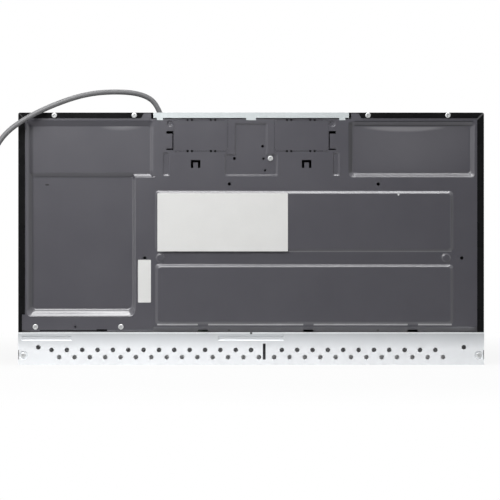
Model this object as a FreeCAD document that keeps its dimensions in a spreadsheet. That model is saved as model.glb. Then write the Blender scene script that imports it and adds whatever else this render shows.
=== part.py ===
import FreeCAD, Part
import math
import os
from FreeCAD import Placement, Rotation, Vector
import Sketcher

# Over-the-range microwave oven. X runs along the width, the front faces -Y, Z is up.
# The origin lies under the middle of the object, on the plane it stands on.
doc = FreeCAD.newDocument("over_range_microwave")
sheet = doc.addObject("Spreadsheet::Sheet", "Sizes")

SIZES = (
    # case
    ("case_width", 759), ("case_height", 411), ("case_depth", 340), ("gauge", 0.9), ("fit_gap", 0.3),
    ("side_flange", 11), ("top_flange", 9), ("flange_foot", 82), ("wrapper_foot", 2), ("wrapper_bend", 3),
    ("notch_half", 180), ("notch_slant", 6),
    # pressed back panel
    ("panel_rise", 4), ("shallow_depth", 5), ("deep_step", 4), ("pocket_depth", 6), ("tee_depth", 3),
    ("foot_depth", 8), ("foot_top", 62), ("foot_low", 53), ("side_foot_top", 57), ("side_foot_low", 49),
    ("press_corner", 8), ("press_round", 2.2), ("raised_left_from_side", 50.5), ("raised_right", 156),
    ("raised_low_bottom", 65.5), ("raised_low_top", 163.5), ("raised_high_bottom", 184.5),
    ("raised_high_top_from_top", 128), ("raised_slope", 4), ("bay_outer_from_side", 13),
    ("bay_inner", 189), ("bay_upper_inner", 160), ("bay_bottom", 79), ("bay_step_from_top", 106),
    ("bay_top_from_top", 13), ("bay_slope", 9), ("bay_inner_slope", 4.5), ("bay_step_slope", 5.5),
    ("bay_side_rate", 1.05), ("bay_foot_slope", 11.5), ("bay_drop_slope", 7), ("bay_jog", 3),
    ("bay_corner", 12), ("pocket_left_from_side", 15.5), ("pocket_right", -159.5),
    ("pocket_bottom_from_top", 105), ("pocket_top_from_top", 15), ("pocket_slope", 6), ("tee_half", 27),
    ("tee_foot_half", 43.5), ("tee_top_from_top", 17), ("tee_waist_from_top", 67),
    ("tee_bottom_from_top", 103.5), ("tee_overlap", 15), ("tight_corner", 3.2), ("tight_round", 0.9),
    ("panel_notch_half", 163), ("panel_notch_bottom_from_top", 10), ("knock_inner", 38),
    ("knock_outer", 126), ("knock_bottom_from_top", 63), ("knock_top_from_top", 11.8),
    ("knock_slit", 0.5), ("knock_side_slit", 0.3), ("bridge_near", 62), ("bridge_far", 100),
    ("bridge_half", 3.5), ("bridge_hole", 1.9), ("lance_centre", 90.5), ("lance_width", 15.6),
    ("lance_top_from_top", 77.2), ("lance_bottom_from_top", 90.2), ("lance_slot", 4),
    ("window_inner", 126.8), ("window_outer", 138), ("window_bottom_from_top", 61),
    ("window_top_from_top", 30), ("window_bar", 4.4), ("window_side", 1.5), ("window_sill", 2.4),
    ("rib_inner", 133), ("rib_outer", 144), ("rib_bottom_from_top", 103), ("rib_top_from_top", 65),
    ("rib_depth", 2.2), ("dimple_at", 132.4), ("dimple_radius", 5.2), ("dimple_level_from_top", 17.8),
    ("emboss_radius", 7.3), ("emboss_high", 1.6), ("emboss_right", 148), ("emboss_left_from_side", 61.5),
    ("channel_level", 174), ("panel_hole", 2.6), ("hook_width", 17), ("hook_right", 78.5),
    ("hook_mid", -93.5), ("hook_left", -263.5), ("hook_slot_top", 57), ("hook_play", 1.5),
    # wall mounting plate
    ("plate_gauge", 1.2), ("plate_proud", 0.5), ("plate_height", 52.8), ("plate_lip", 5),
    ("hook_reach", 12), ("hole_pitch", 25), ("row_high", 24.3), ("row_low", 12.6), ("wall_hole", 3.8),
    ("corner_at_from_side", 33), ("corner_level", 28.7), ("slot_at", -21.4), ("slot_half", 2.2),
    ("slot_bottom", 8.6), ("slot_top", 34.6), ("plate_rib_low", 39.5), ("plate_rib_high", 47.6),
    ("plate_rib_depth", 2), ("plate_rib_end", 292), ("plate_rib_half", 54), ("end_notch", 1.4),
    ("end_notch_low", 9), ("end_notch_high", 24), ("seat_at_from_side", 8.5), ("seat_level", 15.5),
    ("seat_radius", 7.2),
    # screws
    ("screw_head", 4.4), ("screw_dome", 2.6), ("screw_shank", 1.9), ("screw_long", 9),
    ("screw_play", 0.15), ("top_screw_far_from_side", 58.8), ("top_screw_near", 190.5),
    ("foot_screw_far_from_side", 27.9), ("foot_screw_near", 212.2),
    # vent tray, exhaust collar and damper
    ("tray_half", 159.4), ("tray_deep", 130), ("tray_level_from_top", 8.7), ("tab_low_from_top", 12.5),
    ("tab_at", 148.6), ("tab_width", 10), ("mid_tab_width", 16), ("collar_half", 127),
    ("collar_deep", 84), ("collar_wall", 1.2), ("collar_back", 24), ("damper_gap", 1),
    ("damper_axle", 1.5), ("axle_play", 0.05),
    # oven cavity and front frame
    ("cavity_left_from_side", 49.5), ("cavity_right", 150), ("cavity_floor", 62),
    ("cavity_roof_from_top", 119), ("cavity_room", 22), ("cavity_corner", 14), ("frame_gauge", 1.2),
    ("frame_top_from_top", 46), ("shelf_deep", 28), ("port_deep", 70), ("port_high", 36),
    ("port_level", 182),
    # base pan, grease filters and cooktop lamp
    ("pan_lip", 15), ("filter_inner", 176), ("filter_margin", 35.5), ("filter_deep", 138),
    ("filter_thick", 9), ("filter_from_front", 18.75), ("filter_play", 0.8), ("filter_ledge", 7),
    ("filter_stop", 1), ("filter_rim", 8), ("filter_inset", 2.5), ("lens_half", 60), ("lens_deep", 60),
    ("lens_from_front", 83.75), ("lens_flange", 6), ("lamp_bridge", 34), ("bridge_leg", 8),
    ("bridge_half_deep", 15), ("bridge_thick", 3), ("socket_radius", 9), ("socket_tall", 10),
    ("bulb_radius", 6.5), ("bulb_gap", 6),
    # blower
    ("scroll_radius", 50), ("scroll_wall", 1.2), ("scroll_inner", 42), ("scroll_outer", 118),
    ("inlet_radius", 30), ("blower_back", 75), ("wheel_radius", 38), ("wheel_inner", 31),
    ("wheel_play", 4), ("rotor_shaft", 4), ("shaft_play", 0.05), ("blower_motor_radius", 33),
    ("blower_motor_half", 34), ("outlet_deep", 46), ("scroll_sink", 0.6), ("blower_foot", 36),
    ("bell_long", 8), ("bell_taper", 10), ("motor_foot", 22), ("motor_foot_deep", 20),
    ("wheel_disc", 1.5), ("wheel_boss", 5), ("boss_long", 14), ("wheel_ring", 2), ("vane_thick", 1),
    ("vane_inset", 0.6), ("vane_tilt", 6),
    # magnetron side
    ("bulkhead_back", 71.25), ("fan_across_from_side", 111.5), ("fan_level", 185), ("fan_radius", 54),
    ("fan_hub", 15), ("fan_ring", 58), ("fan_deep", 18), ("ring_wall", 1.2), ("ring_long", 11),
    ("strap_back", 48), ("strap_thick", 2), ("strap_half", 9), ("strap_leg", 8), ("stator_half", 26),
    ("stator_tall", 24), ("stator_deep", 20), ("fan_shaft", 3), ("fan_shaft_long", 29),
    ("blade_half", 13), ("blade_thick", 1.6), ("blade_pitch", 55), ("fan_ahead", 14), ("guide_wide", 35),
    ("guide_deep", 100), ("guide_bottom", 150), ("guide_top", 240), ("magnetron_long", 100),
    ("guide_wall", 1.2), ("antenna_drop", 36), ("antenna_radius", 9), ("antenna_long", 24),
    ("tube_plate", 46), ("tube_plate_tall", 40), ("yoke_half", 38), ("yoke_tall", 34), ("tube_box", 34),
    ("tube_box_tall", 32), ("fin_pitch", 8), ("fin_gap", 4), ("fin_start", 14), ("fin_end", 31),
    ("transformer_at_from_side", 77.5), ("core_half", 40), ("core_deep", 60), ("core_tall", 72),
    ("winding_half", 28), ("winding_deep", 88), ("winding_low", 14), ("winding_high", 58),
    ("core_foot", 48), ("core_foot_thick", 2), ("coil_gap", 6), ("can_half", 26), ("can_deep", 32),
    ("can_tall", 88), ("can_corner", 15), ("can_behind", 12), ("tab_spread", 12), ("tab_half", 3),
    ("tab_tall", 10), ("diode_reach", 32), ("diode_long", 20), ("diode_thick", 8), ("diode_lug", 5),
    ("oven_lamp_wide", 18), ("oven_lamp_deep", 32), ("oven_lamp_tall", 34), ("oven_lamp_drop", 12),
    ("oven_lamp_gap", 18), ("oven_lamp_neck", 10), ("oven_lamp_stem", 16),
    # turntable
    ("table_room", 11), ("glass_thick", 5), ("table_rim", 9), ("roller_radius", 7.7),
    ("roller_ring_radius", 82), ("roller_track", 95), ("roller_wide", 9), ("roll_gap", 0.3),
    ("roller_axle", 2), ("table_shaft", 3), ("hub_radius", 9), ("lug_radius", 3.5),
    ("table_motor_radius", 24), ("table_motor_high", 15),
    # door
    ("door_gap", 4), ("door_thick", 38), ("door_right", 205), ("door_bottom", 8),
    ("door_top_from_top", 49), ("door_wall", 2.5), ("choke_thick", 2.5), ("window_left_from_side", 69.5),
    ("window_right", 130), ("window_low", 84), ("window_high_from_top", 139), ("glass_margin", 30),
    ("pane_thick", 3.8), ("hinge_inset", 11.5), ("hinge_back", 14), ("hinge_pin", 4), ("pin_long", 15),
    ("hinge_plate", 2), ("hinge_play", 0.06), ("bush_wall", 2.5), ("handle_reach", 45),
    ("handle_at", 182), ("handle_wide", 20), ("handle_thick", 14), ("handle_low", 45),
    ("handle_high_from_top", 86), ("post_radius", 7), ("post_inset", 26), ("latch_at", 166),
    ("latch_wide", 8), ("latch_travel", 4), ("hook_low", 100), ("hook_high_from_top", 166),
    ("latch_tall", 12), ("latch_reach", 22), ("latch_barb", 4), ("latch_play", 2),
    # control panel and grille
    ("control_left", 208), ("control_wall", 2.5), ("keypad_thick", 0.8), ("keypad_margin", 14),
    ("keypad_top_from_top", 149), ("display_low_from_top", 125), ("display_high_from_top", 77),
    ("board_back", 16), ("grille_bottom_from_top", 44.4), ("grille_wall", 2.5), ("slat_thick", 1.6),
    ("slat_deep", 14), ("charcoal_half", 160), ("charcoal_thick", 18),
    # top bolts
    ("bolt_at_from_side", 89.5), ("bolt_from_front", 70), ("bolt_hole", 3.3), ("nut_radius", 9),
    ("nut_high", 7),
    # power cord
    ("cord_radius", 4.25), ("gland_at", 145), ("gland_back", 26), ("gland_top_from_top", 2),
    ("gland_wall", 1.6), ("gland_room", 2.6),
)


class Size:
    """A length that keeps its formula over the sheet together with its value."""

    def __init__(self, formula, value):
        self.formula = formula
        self.value = float(value)

    def __add__(self, other):
        other = sized(other)
        return Size(f"({self.formula} + {other.formula})", self.value + other.value)

    def __sub__(self, other):
        other = sized(other)
        return Size(f"({self.formula} - {other.formula})", self.value - other.value)

    def __mul__(self, other):
        other = sized(other)
        return Size(f"({self.formula} * {other.formula})", self.value * other.value)

    def __truediv__(self, other):
        other = sized(other)
        return Size(f"({self.formula} / {other.formula})", self.value / other.value)

    def __radd__(self, other):
        return sized(other) + self

    def __rsub__(self, other):
        return sized(other) - self

    def __rmul__(self, other):
        return sized(other) * self

    def __neg__(self):
        return sized(0) - self

    def __float__(self):
        return self.value


def sized(length):
    return length if isinstance(length, Size) else Size(f"({float(length)!r})", length)


class Sizes:
    """The sheet's cells by name."""


S = Sizes()
for row, (alias, number) in enumerate(SIZES, 1):
    sheet.set(f"A{row}", alias)
    sheet.set(f"B{row}", str(number))
    sheet.setAlias(f"B{row}", alias)
    setattr(S, alias, Size(f"Sizes.{alias}", number))
for alias, number in SIZES:
    tied, _, edge = alias.rpartition("_from_")
    if edge == "top":
        setattr(S, tied, S.case_height - getattr(S, alias))
    if edge == "side":
        spot = S.case_width / 2 - getattr(S, alias)
        setattr(S, tied, -spot if tied.endswith("left") else spot)
doc.recompute()

TURN = {
    "x": Rotation(Vector(0, 1, 0), 90),
    "y": Rotation(Vector(1, 0, 0), -90),
    "z": Rotation(),
}
NODES = []


def bind(thing, place, length):
    thing.setExpression(place, sized(length).formula)


def locate(thing, x, y, z):
    for axis, length in (("x", x), ("y", y), ("z", z)):
        bind(thing, f"Placement.Base.{axis}", length)


def made(kind, name, body=None, cut=False):
    """A primitive by itself, or one that adds to or cuts from a body."""
    if body is None:
        return doc.addObject(f"Part::{kind}", name)
    return body.newObject(f"PartDesign::{'Subtractive' if cut else 'Additive'}{kind}", name)


def block(name, x, y, z, body=None, cut=False):
    """A box between two lengths on each axis."""
    thing = made("Box", name, body, cut)
    for side, (low, high) in (("Length", x), ("Width", y), ("Height", z)):
        bind(thing, side, high - sized(low))
    locate(thing, x[0], y[0], z[0])
    return thing


def rod(name, axis, radius, span, centre, body=None, cut=False):
    """A cylinder along an axis; centre gives the two other coordinates in XYZ order."""
    thing = made("Cylinder", name, body, cut)
    thing.Placement = Placement(Vector(), TURN[axis])
    bind(thing, "Radius", radius)
    bind(thing, "Height", span[1] - sized(span[0]))
    place = list(centre)
    place.insert("xyz".index(axis), span[0])
    locate(thing, *place)
    return thing


def cone(name, axis, radii, span, centre, body=None, cut=False):
    thing = made("Cone", name, body, cut)
    thing.Placement = Placement(Vector(), TURN[axis])
    bind(thing, "Radius1", radii[0])
    bind(thing, "Radius2", radii[1])
    bind(thing, "Height", span[1] - sized(span[0]))
    place = list(centre)
    place.insert("xyz".index(axis), span[0])
    locate(thing, *place)
    return thing


def frustum(name, body, cut, start, end, rim, floor):
    """A slope-sided pressing along Y: its rectangle at the start level and the one at the end level."""
    thing = made("Wedge", name, body, cut)
    levels = sorted(((start, rim), (end, floor)), key=lambda level: float(level[0]))
    for mark, (level, (left, right, low, high)) in zip(("", "2"), levels):
        bind(thing, f"X{mark}min", left)
        bind(thing, f"X{mark}max", right)
        bind(thing, f"Z{mark}min", low)
        bind(thing, f"Z{mark}max", high)
    bind(thing, "Ymin", levels[0][0])
    bind(thing, "Ymax", levels[1][0])
    return thing


def inset(rectangle, margin):
    left, right, low, high = rectangle
    return (left + sized(margin), right - sized(margin), low + sized(margin), high - sized(margin))


def union(name, *things):
    joined = doc.addObject("Part::MultiFuse", name)
    joined.Shapes = list(things)
    joined.Refine = True
    return joined


def minus(name, base, *tools):
    cut = doc.addObject("Part::Cut", name)
    cut.Base = base
    cut.Tool = tools[0] if len(tools) == 1 else union(f"{name}_tools", *tools)
    return cut


def grouped(name, *things):
    group = doc.addObject("Part::Compound", name)
    group.Links = list(things)
    return group


def new_body(name):
    return doc.addObject("PartDesign::Body", name)


def sketch_on(body, name, role, level=0):
    """A sketch on one of the body's own planes, moved along the plane's normal."""
    drawing = body.newObject("Sketcher::SketchObject", name)
    plane = next(one for one in body.Origin.OriginFeatures if one.Role == role)
    drawing.AttachmentSupport = [(plane, "")]
    drawing.MapMode = "FlatFace"
    bind(drawing, "AttachmentOffset.Base.z", level)
    return drawing


def dimension(drawing, kind, geometry, point, length):
    """A measured constraint from the sketch's origin, or a radius where point is 0."""
    if kind == "Radius":
        index = drawing.addConstraint(Sketcher.Constraint(kind, geometry, float(length)))
    else:
        index = drawing.addConstraint(Sketcher.Constraint(kind, -1, 1, geometry, point, float(length)))
    drawing.setExpression(f"Constraints[{index}]", sized(length).formula)


def polygon(drawing, corners):
    first = drawing.GeometryCount
    spots = [Vector(float(across), float(along), 0) for across, along in corners]
    count = len(spots)
    drawing.addGeometry([Part.LineSegment(spots[i], spots[(i + 1) % count]) for i in range(count)], False)
    for i in range(count):
        drawing.addConstraint(Sketcher.Constraint("Coincident", first + i, 2, first + (i + 1) % count, 1))
    for i, (across, along) in enumerate(corners):
        dimension(drawing, "DistanceX", first + i, 1, across)
        dimension(drawing, "DistanceY", first + i, 1, along)


def circle(drawing, across, along, radius):
    geometry = drawing.GeometryCount
    drawing.addGeometry(Part.Circle(Vector(float(across), float(along), 0), Vector(0, 0, 1), float(radius)),
                        False)
    dimension(drawing, "DistanceX", geometry, 3, across)
    dimension(drawing, "DistanceY", geometry, 3, along)
    dimension(drawing, "Radius", geometry, 0, radius)


def pad(body, name, drawing, length, backwards=False):
    thing = body.newObject("PartDesign::Pad", name)
    thing.Profile = drawing
    thing.Reversed = backwards
    bind(thing, "Length", length)
    return thing


def pocket(body, name, drawing, length, backwards=False):
    thing = body.newObject("PartDesign::Pocket", name)
    thing.Profile = drawing
    thing.Reversed = backwards
    bind(thing, "Length", length)
    return thing


def around(body, name, feature, count, axis):
    ring = body.newObject("PartDesign::PolarPattern", name)
    ring.Originals = [feature]
    ring.Axis = axis
    ring.Angle = 360
    ring.Occurrences = count
    body.Tip = ring
    return ring


def rounded(body, name, feature, radius, wanted):
    """Rounds every straight or curved edge of the last feature that the test picks."""
    doc.recompute()
    thing = body.newObject("PartDesign::Fillet", name)
    picked = [f"Edge{i}" for i, edge in enumerate(feature.Shape.Edges, 1) if wanted(edge)]
    thing.Base = (feature, picked)
    bind(thing, "Radius", radius)
    body.Tip = thing
    doc.recompute()
    return thing


def along(axis):
    """Picks edges that run along one axis only."""
    def test(edge):
        box = edge.BoundBox
        spans = {"x": box.XLength, "y": box.YLength, "z": box.ZLength}
        return spans.pop(axis) > 1e-3 and max(spans.values()) < 1e-4
    return test


def node(thing, label):
    thing.Label = label
    NODES.append(thing)
    return thing


# Main planes and outlines that several pieces share
HALF = S.case_width / 2
INSIDE = HALF - S.gauge - S.fit_gap
TOTAL_DEPTH = S.handle_reach + S.door_thick + S.door_gap + S.case_depth + S.panel_rise + S.plate_proud
Y_WALL = TOTAL_DEPTH / 2
Y_BACK = Y_WALL - S.plate_proud - S.panel_rise
Y_FRONT = Y_BACK - S.case_depth
Y_DOOR = Y_FRONT - S.door_gap
Y_FACE = Y_DOOR - S.door_thick
ROOF = S.case_height - S.gauge
FRAME_BACK = Y_FRONT + S.frame_gauge
CAVITY_DEEP = S.case_depth - S.cavity_room
CAVITY_BACK = FRAME_BACK + CAVITY_DEEP
CAVITY_TOP = S.cavity_roof + S.gauge
CAVITY_SIDE = S.cavity_right + S.gauge
TABLE_X = (S.cavity_left + S.cavity_right) / 2
TABLE_Y = (FRAME_BACK + CAVITY_BACK) / 2
BULKHEAD = Y_BACK - S.bulkhead_back
FAN_Y = BULKHEAD + S.gauge
BLOWER_Y = Y_BACK - S.blower_back
BLOWER_Z = CAVITY_TOP + S.scroll_wall + S.scroll_radius - S.scroll_sink
SIDES = (1, -1)
BEYOND = 30
OVER = 5


def mirrored(side, low, high):
    """A span on the right side, or its mirror image on the left."""
    return (low, high) if side > 0 else (-sized(high), -sized(low))


def about(middle, half):
    """A span to both sides of a middle."""
    return (middle - half, middle + half)


def shrunk(span, margin):
    return (span[0] + sized(margin), span[1] - sized(margin))


# Back panel: one sheet pressed into raised fields, an L-shaped bay, a corner pocket, a T-shaped
# recess and a stepped-back foot. The form is a thick slab.
# The sheet is that slab less itself moved in by the gauge.
form = new_body("back_panel_form")
block("panel_slab", (-INSIDE, INSIDE), (Y_BACK - BEYOND, Y_BACK), (S.gauge + S.fit_gap, ROOF - S.fit_gap),
      form)
for name, low, high in (("upper", S.raised_high_bottom, S.raised_high_top),
                        ("lower", S.raised_low_bottom, S.raised_low_top)):
    field = (S.raised_left, S.raised_right, low, high)
    frustum(f"raised_{name}", form, False, Y_BACK, Y_BACK + S.panel_rise, field,
            inset(field, S.raised_slope))
for name, spot in (("right", S.emboss_right), ("left", S.emboss_left)):
    cone(f"channel_emboss_{name}", "y", (S.emboss_radius, S.emboss_radius - S.emboss_high),
         (Y_BACK, Y_BACK + S.emboss_high), (spot, S.channel_level), form)
BAY_FLOOR = Y_BACK - S.shallow_depth
BAY_DEEP = BAY_FLOOR - S.deep_step
frustum("bay_upper", form, True, Y_BACK, BAY_FLOOR, (S.bay_upper_inner, S.bay_outer, S.bay_step, S.bay_top),
        (S.bay_upper_inner + S.bay_inner_slope, S.bay_outer - S.bay_side_rate * S.shallow_depth,
         S.bay_step + S.bay_step_slope,
         S.bay_top - S.bay_slope))
DROP_TOP = S.bay_step + S.bay_step_slope + S.bay_jog
DROP_RATE = S.bay_drop_slope / S.deep_step
frustum("bay_lower", form, True, Y_BACK, BAY_DEEP,
        (S.bay_inner, S.bay_outer, S.bay_bottom, DROP_TOP + DROP_RATE * S.shallow_depth),
        (S.bay_inner + S.bay_inner_slope, S.bay_outer - S.bay_side_rate * (S.shallow_depth + S.deep_step),
         S.bay_bottom + S.bay_foot_slope,
         DROP_TOP - S.bay_drop_slope))
pocket_rim = (S.pocket_left, S.pocket_right, S.pocket_bottom, S.pocket_top)
frustum("corner_pocket", form, True, Y_BACK, Y_BACK - S.pocket_depth, pocket_rim,
        inset(pocket_rim, S.pocket_slope))
for name, half, low, high in (("stem", S.tee_half, S.tee_bottom + S.tee_overlap, S.tee_top),
                              ("foot", S.tee_foot_half, S.tee_bottom, S.tee_waist)):
    tee = (-half, half, low, high)
    frustum(f"tee_{name}", form, True, Y_BACK, Y_BACK - S.tee_depth, tee, inset(tee, S.tee_depth))
for side in SIDES:
    rib = (*mirrored(side, S.rib_inner, S.rib_outer), S.rib_bottom, S.rib_top)
    frustum("side_rib", form, True, Y_BACK, Y_BACK - S.rib_depth, rib, inset(rib, S.rib_depth))
    cone("top_dimple", "y", (S.dimple_radius - S.rib_depth, S.dimple_radius),
         (Y_BACK - S.rib_depth, Y_BACK),
         (side * S.dimple_at, S.dimple_level), form, True)
FOOT_EDGE = S.raised_right + S.raised_slope
for name, span, high, low in (("side", (FOOT_EDGE, HALF + BEYOND), S.side_foot_top, S.side_foot_low),
                              ("wide", (-HALF - BEYOND, FOOT_EDGE), S.foot_top, S.foot_low)):
    last = frustum(f"stepped_foot_{name}", form, True, Y_BACK, Y_BACK - S.foot_depth,
                   (*span, -BEYOND, high), (*span, -BEYOND, low))


def pressed_corner(kind):
    """Picks the sloping corner edges of the pressings: the small recesses, the bay's foot or the others."""
    def test(edge):
        if edge.Curve.TypeId != "Part::GeomLine":
            return False
        top, end = (one.Point for one in edge.Vertexes)
        steep = abs(top.y - end.y) > 0.5 and max(top.y, end.y) > float(BAY_DEEP) - 0.5
        inner = abs(top.x) < float(INSIDE) - 2 and top.z > float(S.foot_top) + 2
        small = top.z > float(S.tee_bottom) - 2 and abs(top.x) < float(S.rib_outer) + 2
        bay = top.x > float(S.bay_upper_inner) - 1
        step = bay and abs(top.z - float(S.bay_step)) < 25
        foot = bay and top.z < float(S.bay_step) - 25
        return steep and inner and not step and kind == ("small" if small else "foot" if foot else "wide")
    return test


def pressed_rim(edge):
    """Picks the level rims and floors of the pressings."""
    box = edge.BoundBox
    level = box.YLength < 1e-4 and box.YMin > float(Y_BACK) - BEYOND + 5
    inside = box.XMin > -float(INSIDE) and box.XMax < float(INSIDE)
    return level and inside and box.ZMin > float(S.foot_top) + 0.5 and box.ZMax < float(ROOF) - 1


def small_rim(edge):
    """Picks the rims of the T recess, the side ribs and the dimples."""
    box = edge.BoundBox
    middle = max(abs(box.XMin), abs(box.XMax)) < float(S.rib_outer) + 3
    return pressed_rim(edge) and middle and box.ZMin > float(S.tee_bottom) - 5


def wide_rim(edge):
    """Picks the rims of the fields, the bay and the pocket."""
    box = edge.BoundBox
    sunk = box.YMin < float(Y_BACK) - 1 and box.XMin > float(S.bay_inner) - 5
    at_drop = sunk and abs(box.ZMax - float(DROP_TOP)) < 4
    return pressed_rim(edge) and not small_rim(edge) and not at_drop and edge.Length > 0.5


last = rounded(form, "tight_corners", last, S.tight_corner, pressed_corner("small"))
last = rounded(form, "foot_corners", last, S.bay_corner, pressed_corner("foot"))
last = rounded(form, "wide_corners", last, S.press_corner, pressed_corner("wide"))
last = rounded(form, "small_rims", last, S.tight_round, small_rim)
last = rounded(form, "wide_rims", last, S.press_round, wide_rim)


def moved(name, original, forward):
    twin = doc.addObject("App::Link", name)
    twin.LinkedObject = original
    bind(twin, "Placement.Base.y", -forward)
    return twin


skin = minus("back_panel_skin", form, moved("back_panel_inside", form, S.gauge))
THROUGH = (Y_BACK - BEYOND, Y_BACK + BEYOND)
openings = [block("top_clearance", (-S.panel_notch_half, S.panel_notch_half), THROUGH,
                  (S.panel_notch_bottom, S.case_height))]
for side in SIDES:
    slit = S.knock_slit
    for edge in (S.knock_inner, S.knock_outer - S.knock_side_slit):
        openings.append(block("knock_side", mirrored(side, edge, edge + S.knock_side_slit), THROUGH,
                              (S.knock_bottom, S.knock_top)))
    for level in (S.knock_bottom, S.knock_top - slit):
        for start, end in ((S.knock_inner, S.bridge_near - S.bridge_half),
                           (S.bridge_near + S.bridge_half, S.bridge_far - S.bridge_half),
                           (S.bridge_far + S.bridge_half, S.knock_outer)):
            openings.append(block("knock_slit", mirrored(side, start, end), THROUGH, (level, level + slit)))
        for bridge in (S.bridge_near, S.bridge_far):
            for edge in SIDES:
                openings.append(rod("bridge_hole", "y", S.bridge_hole, THROUGH,
                                    (side * (bridge + edge * S.bridge_half), level + slit / 2)))
    left, right = S.lance_centre - S.lance_width / 2, S.lance_centre + S.lance_width / 2
    openings.append(block("lance_top", mirrored(side, left, right), THROUGH,
                          (S.lance_top - S.lance_slot, S.lance_top)))
    for edge in (left, right - S.lance_slot):
        openings.append(block("lance_leg", mirrored(side, edge, edge + S.lance_slot), THROUGH,
                              (S.lance_bottom, S.lance_top)))
    across = mirrored(side, S.window_inner, S.window_outer)
    strip = mirrored(side, S.window_inner, S.window_inner + S.window_side)
    openings.append(block("window_bar", across, THROUGH, (S.window_top - S.window_bar, S.window_top)))
    openings.append(block("window_side", strip, THROUGH, (S.window_bottom, S.window_top)))
    openings.append(block("window_foot", across, THROUGH,
                          (S.window_bottom, S.window_bottom + S.window_sill)))
TEE_SCREW = (sized(-31.5), S.case_height - 74.6)
UPPER_HOLES = ((35.5, 116.3, 1), (-207.2, 116.5, 1), (27.2, 74.6, 0.9), (-18.8, 54.7, 0.85),
               (-20.2, 75, 0.7),
               (-22.8, 94.2, 0.7))
LOWER_HOLES = ((173.3, S.channel_level, 1), (-343.3, S.channel_level, 1), (286.4, S.foot_top, 0.6))
holes = [(sized(across), S.case_height - down, share) for across, down, share in UPPER_HOLES]
holes += [(*TEE_SCREW, 0.7)] + [(sized(across), level, share) for across, level, share in LOWER_HOLES]
for across, level, share in holes:
    openings.append(rod("panel_hole", "y", share * S.panel_hole, THROUGH, (across, level)))
HOOKS = (S.hook_right, S.hook_mid, S.hook_left)
for spot in HOOKS:
    openings.append(block("hook_slot", about(spot, S.hook_width / 2), THROUGH,
                          (S.plate_height - S.plate_gauge - S.hook_play, S.hook_slot_top)))
SHANK_HOLE = S.screw_shank + S.screw_play
TOP_SCREWS = [(side * spot,
               S.case_height - S.top_flange / 2) for side in SIDES for spot in (S.top_screw_far,
                                                                                S.top_screw_near)]
FOOT_SCREWS = [(spot, S.side_foot_top + S.screw_head + S.fit_gap) for spot in (S.foot_screw_far,
                                                                               S.foot_screw_near)]
SEATS = [(side * S.seat_at, S.seat_level) for side in SIDES]
for across, level in TOP_SCREWS + FOOT_SCREWS + SEATS:
    openings.append(rod("panel_screw_hole", "y", SHANK_HOLE, THROUGH, (across, level)))
node(minus("back_panel_sheet", skin, *openings), "back_panel")

# Wrapper: one black sheet bent over the top and both sides, with flanges turned in over the back panel
wrapper = new_body("wrapper_body")
REAR = Y_BACK + S.gauge
last = block("wrapper_outside", (-HALF, HALF), (Y_FRONT, REAR), (S.wrapper_foot, S.case_height), wrapper)


def top_bend(edge):
    """Picks the two upper edges that run from front to back."""
    return along("y")(edge) and edge.BoundBox.ZMin > float(S.case_height) - 1


last = rounded(wrapper, "wrapper_bends", last, S.wrapper_bend, top_bend)
block("wrapper_inside", (-HALF + S.gauge, HALF - S.gauge), (Y_FRONT - BEYOND, Y_BACK), (-BEYOND, ROOF),
      wrapper, True)
block("rear_window", (-HALF + S.side_flange, HALF - S.side_flange), (Y_BACK - 1, REAR + BEYOND),
      (-BEYOND, S.case_height - S.top_flange), wrapper, True)
block("flange_relief", (HALF - S.side_flange - 1, HALF - 6), (Y_BACK, REAR + BEYOND),
      (S.seat_level + S.seat_radius + 4, S.flange_foot), wrapper, True)
notch = sketch_on(wrapper, "flange_notch", "XZ_Plane", -(REAR + 1))
polygon(notch, ((-S.notch_half, S.case_height - S.top_flange - 1),
                (S.notch_half, S.case_height - S.top_flange - 1),
                (S.notch_half - S.notch_slant, S.case_height + 1),
                (-S.notch_half + S.notch_slant, S.case_height + 1)))
pocket(wrapper, "flange_gap", notch, S.gauge + 1, True)
block("vent_cutout", (-S.tray_half - S.fit_gap, S.tray_half + S.fit_gap),
      (Y_BACK - S.tray_deep - S.fit_gap, REAR + BEYOND),
      (ROOF - 1, S.case_height + BEYOND), wrapper, True)
for spot in TOP_SCREWS + SEATS:
    rod("flange_screw_hole", "y", SHANK_HOLE, (Y_BACK - 1, REAR + 1), spot, wrapper, True)
BOLT_Y = Y_FRONT + S.bolt_from_front
for side in SIDES:
    rod("bolt_hole", "z", S.bolt_hole, (ROOF - 1, S.case_height + 1), (side * S.bolt_at, BOLT_Y), wrapper,
        True)
node(wrapper, "outer_wrapper")

# Weld nuts under the roof that take the bolts from the cabinet above
nuts = []
for side in SIDES:
    blank = doc.addObject("Part::Prism", "nut_blank")
    blank.Polygon = 6
    bind(blank, "Circumradius", S.nut_radius)
    bind(blank, "Height", S.nut_high)
    locate(blank, side * S.bolt_at, BOLT_Y, ROOF - S.nut_high)
    nuts.append(minus("nut", blank, rod("nut_bore", "z", S.bolt_hole, (ROOF - BEYOND, ROOF + 1),
                                        (side * S.bolt_at, BOLT_Y))))
node(grouped("nuts", *nuts), "weld_nuts")

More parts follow.
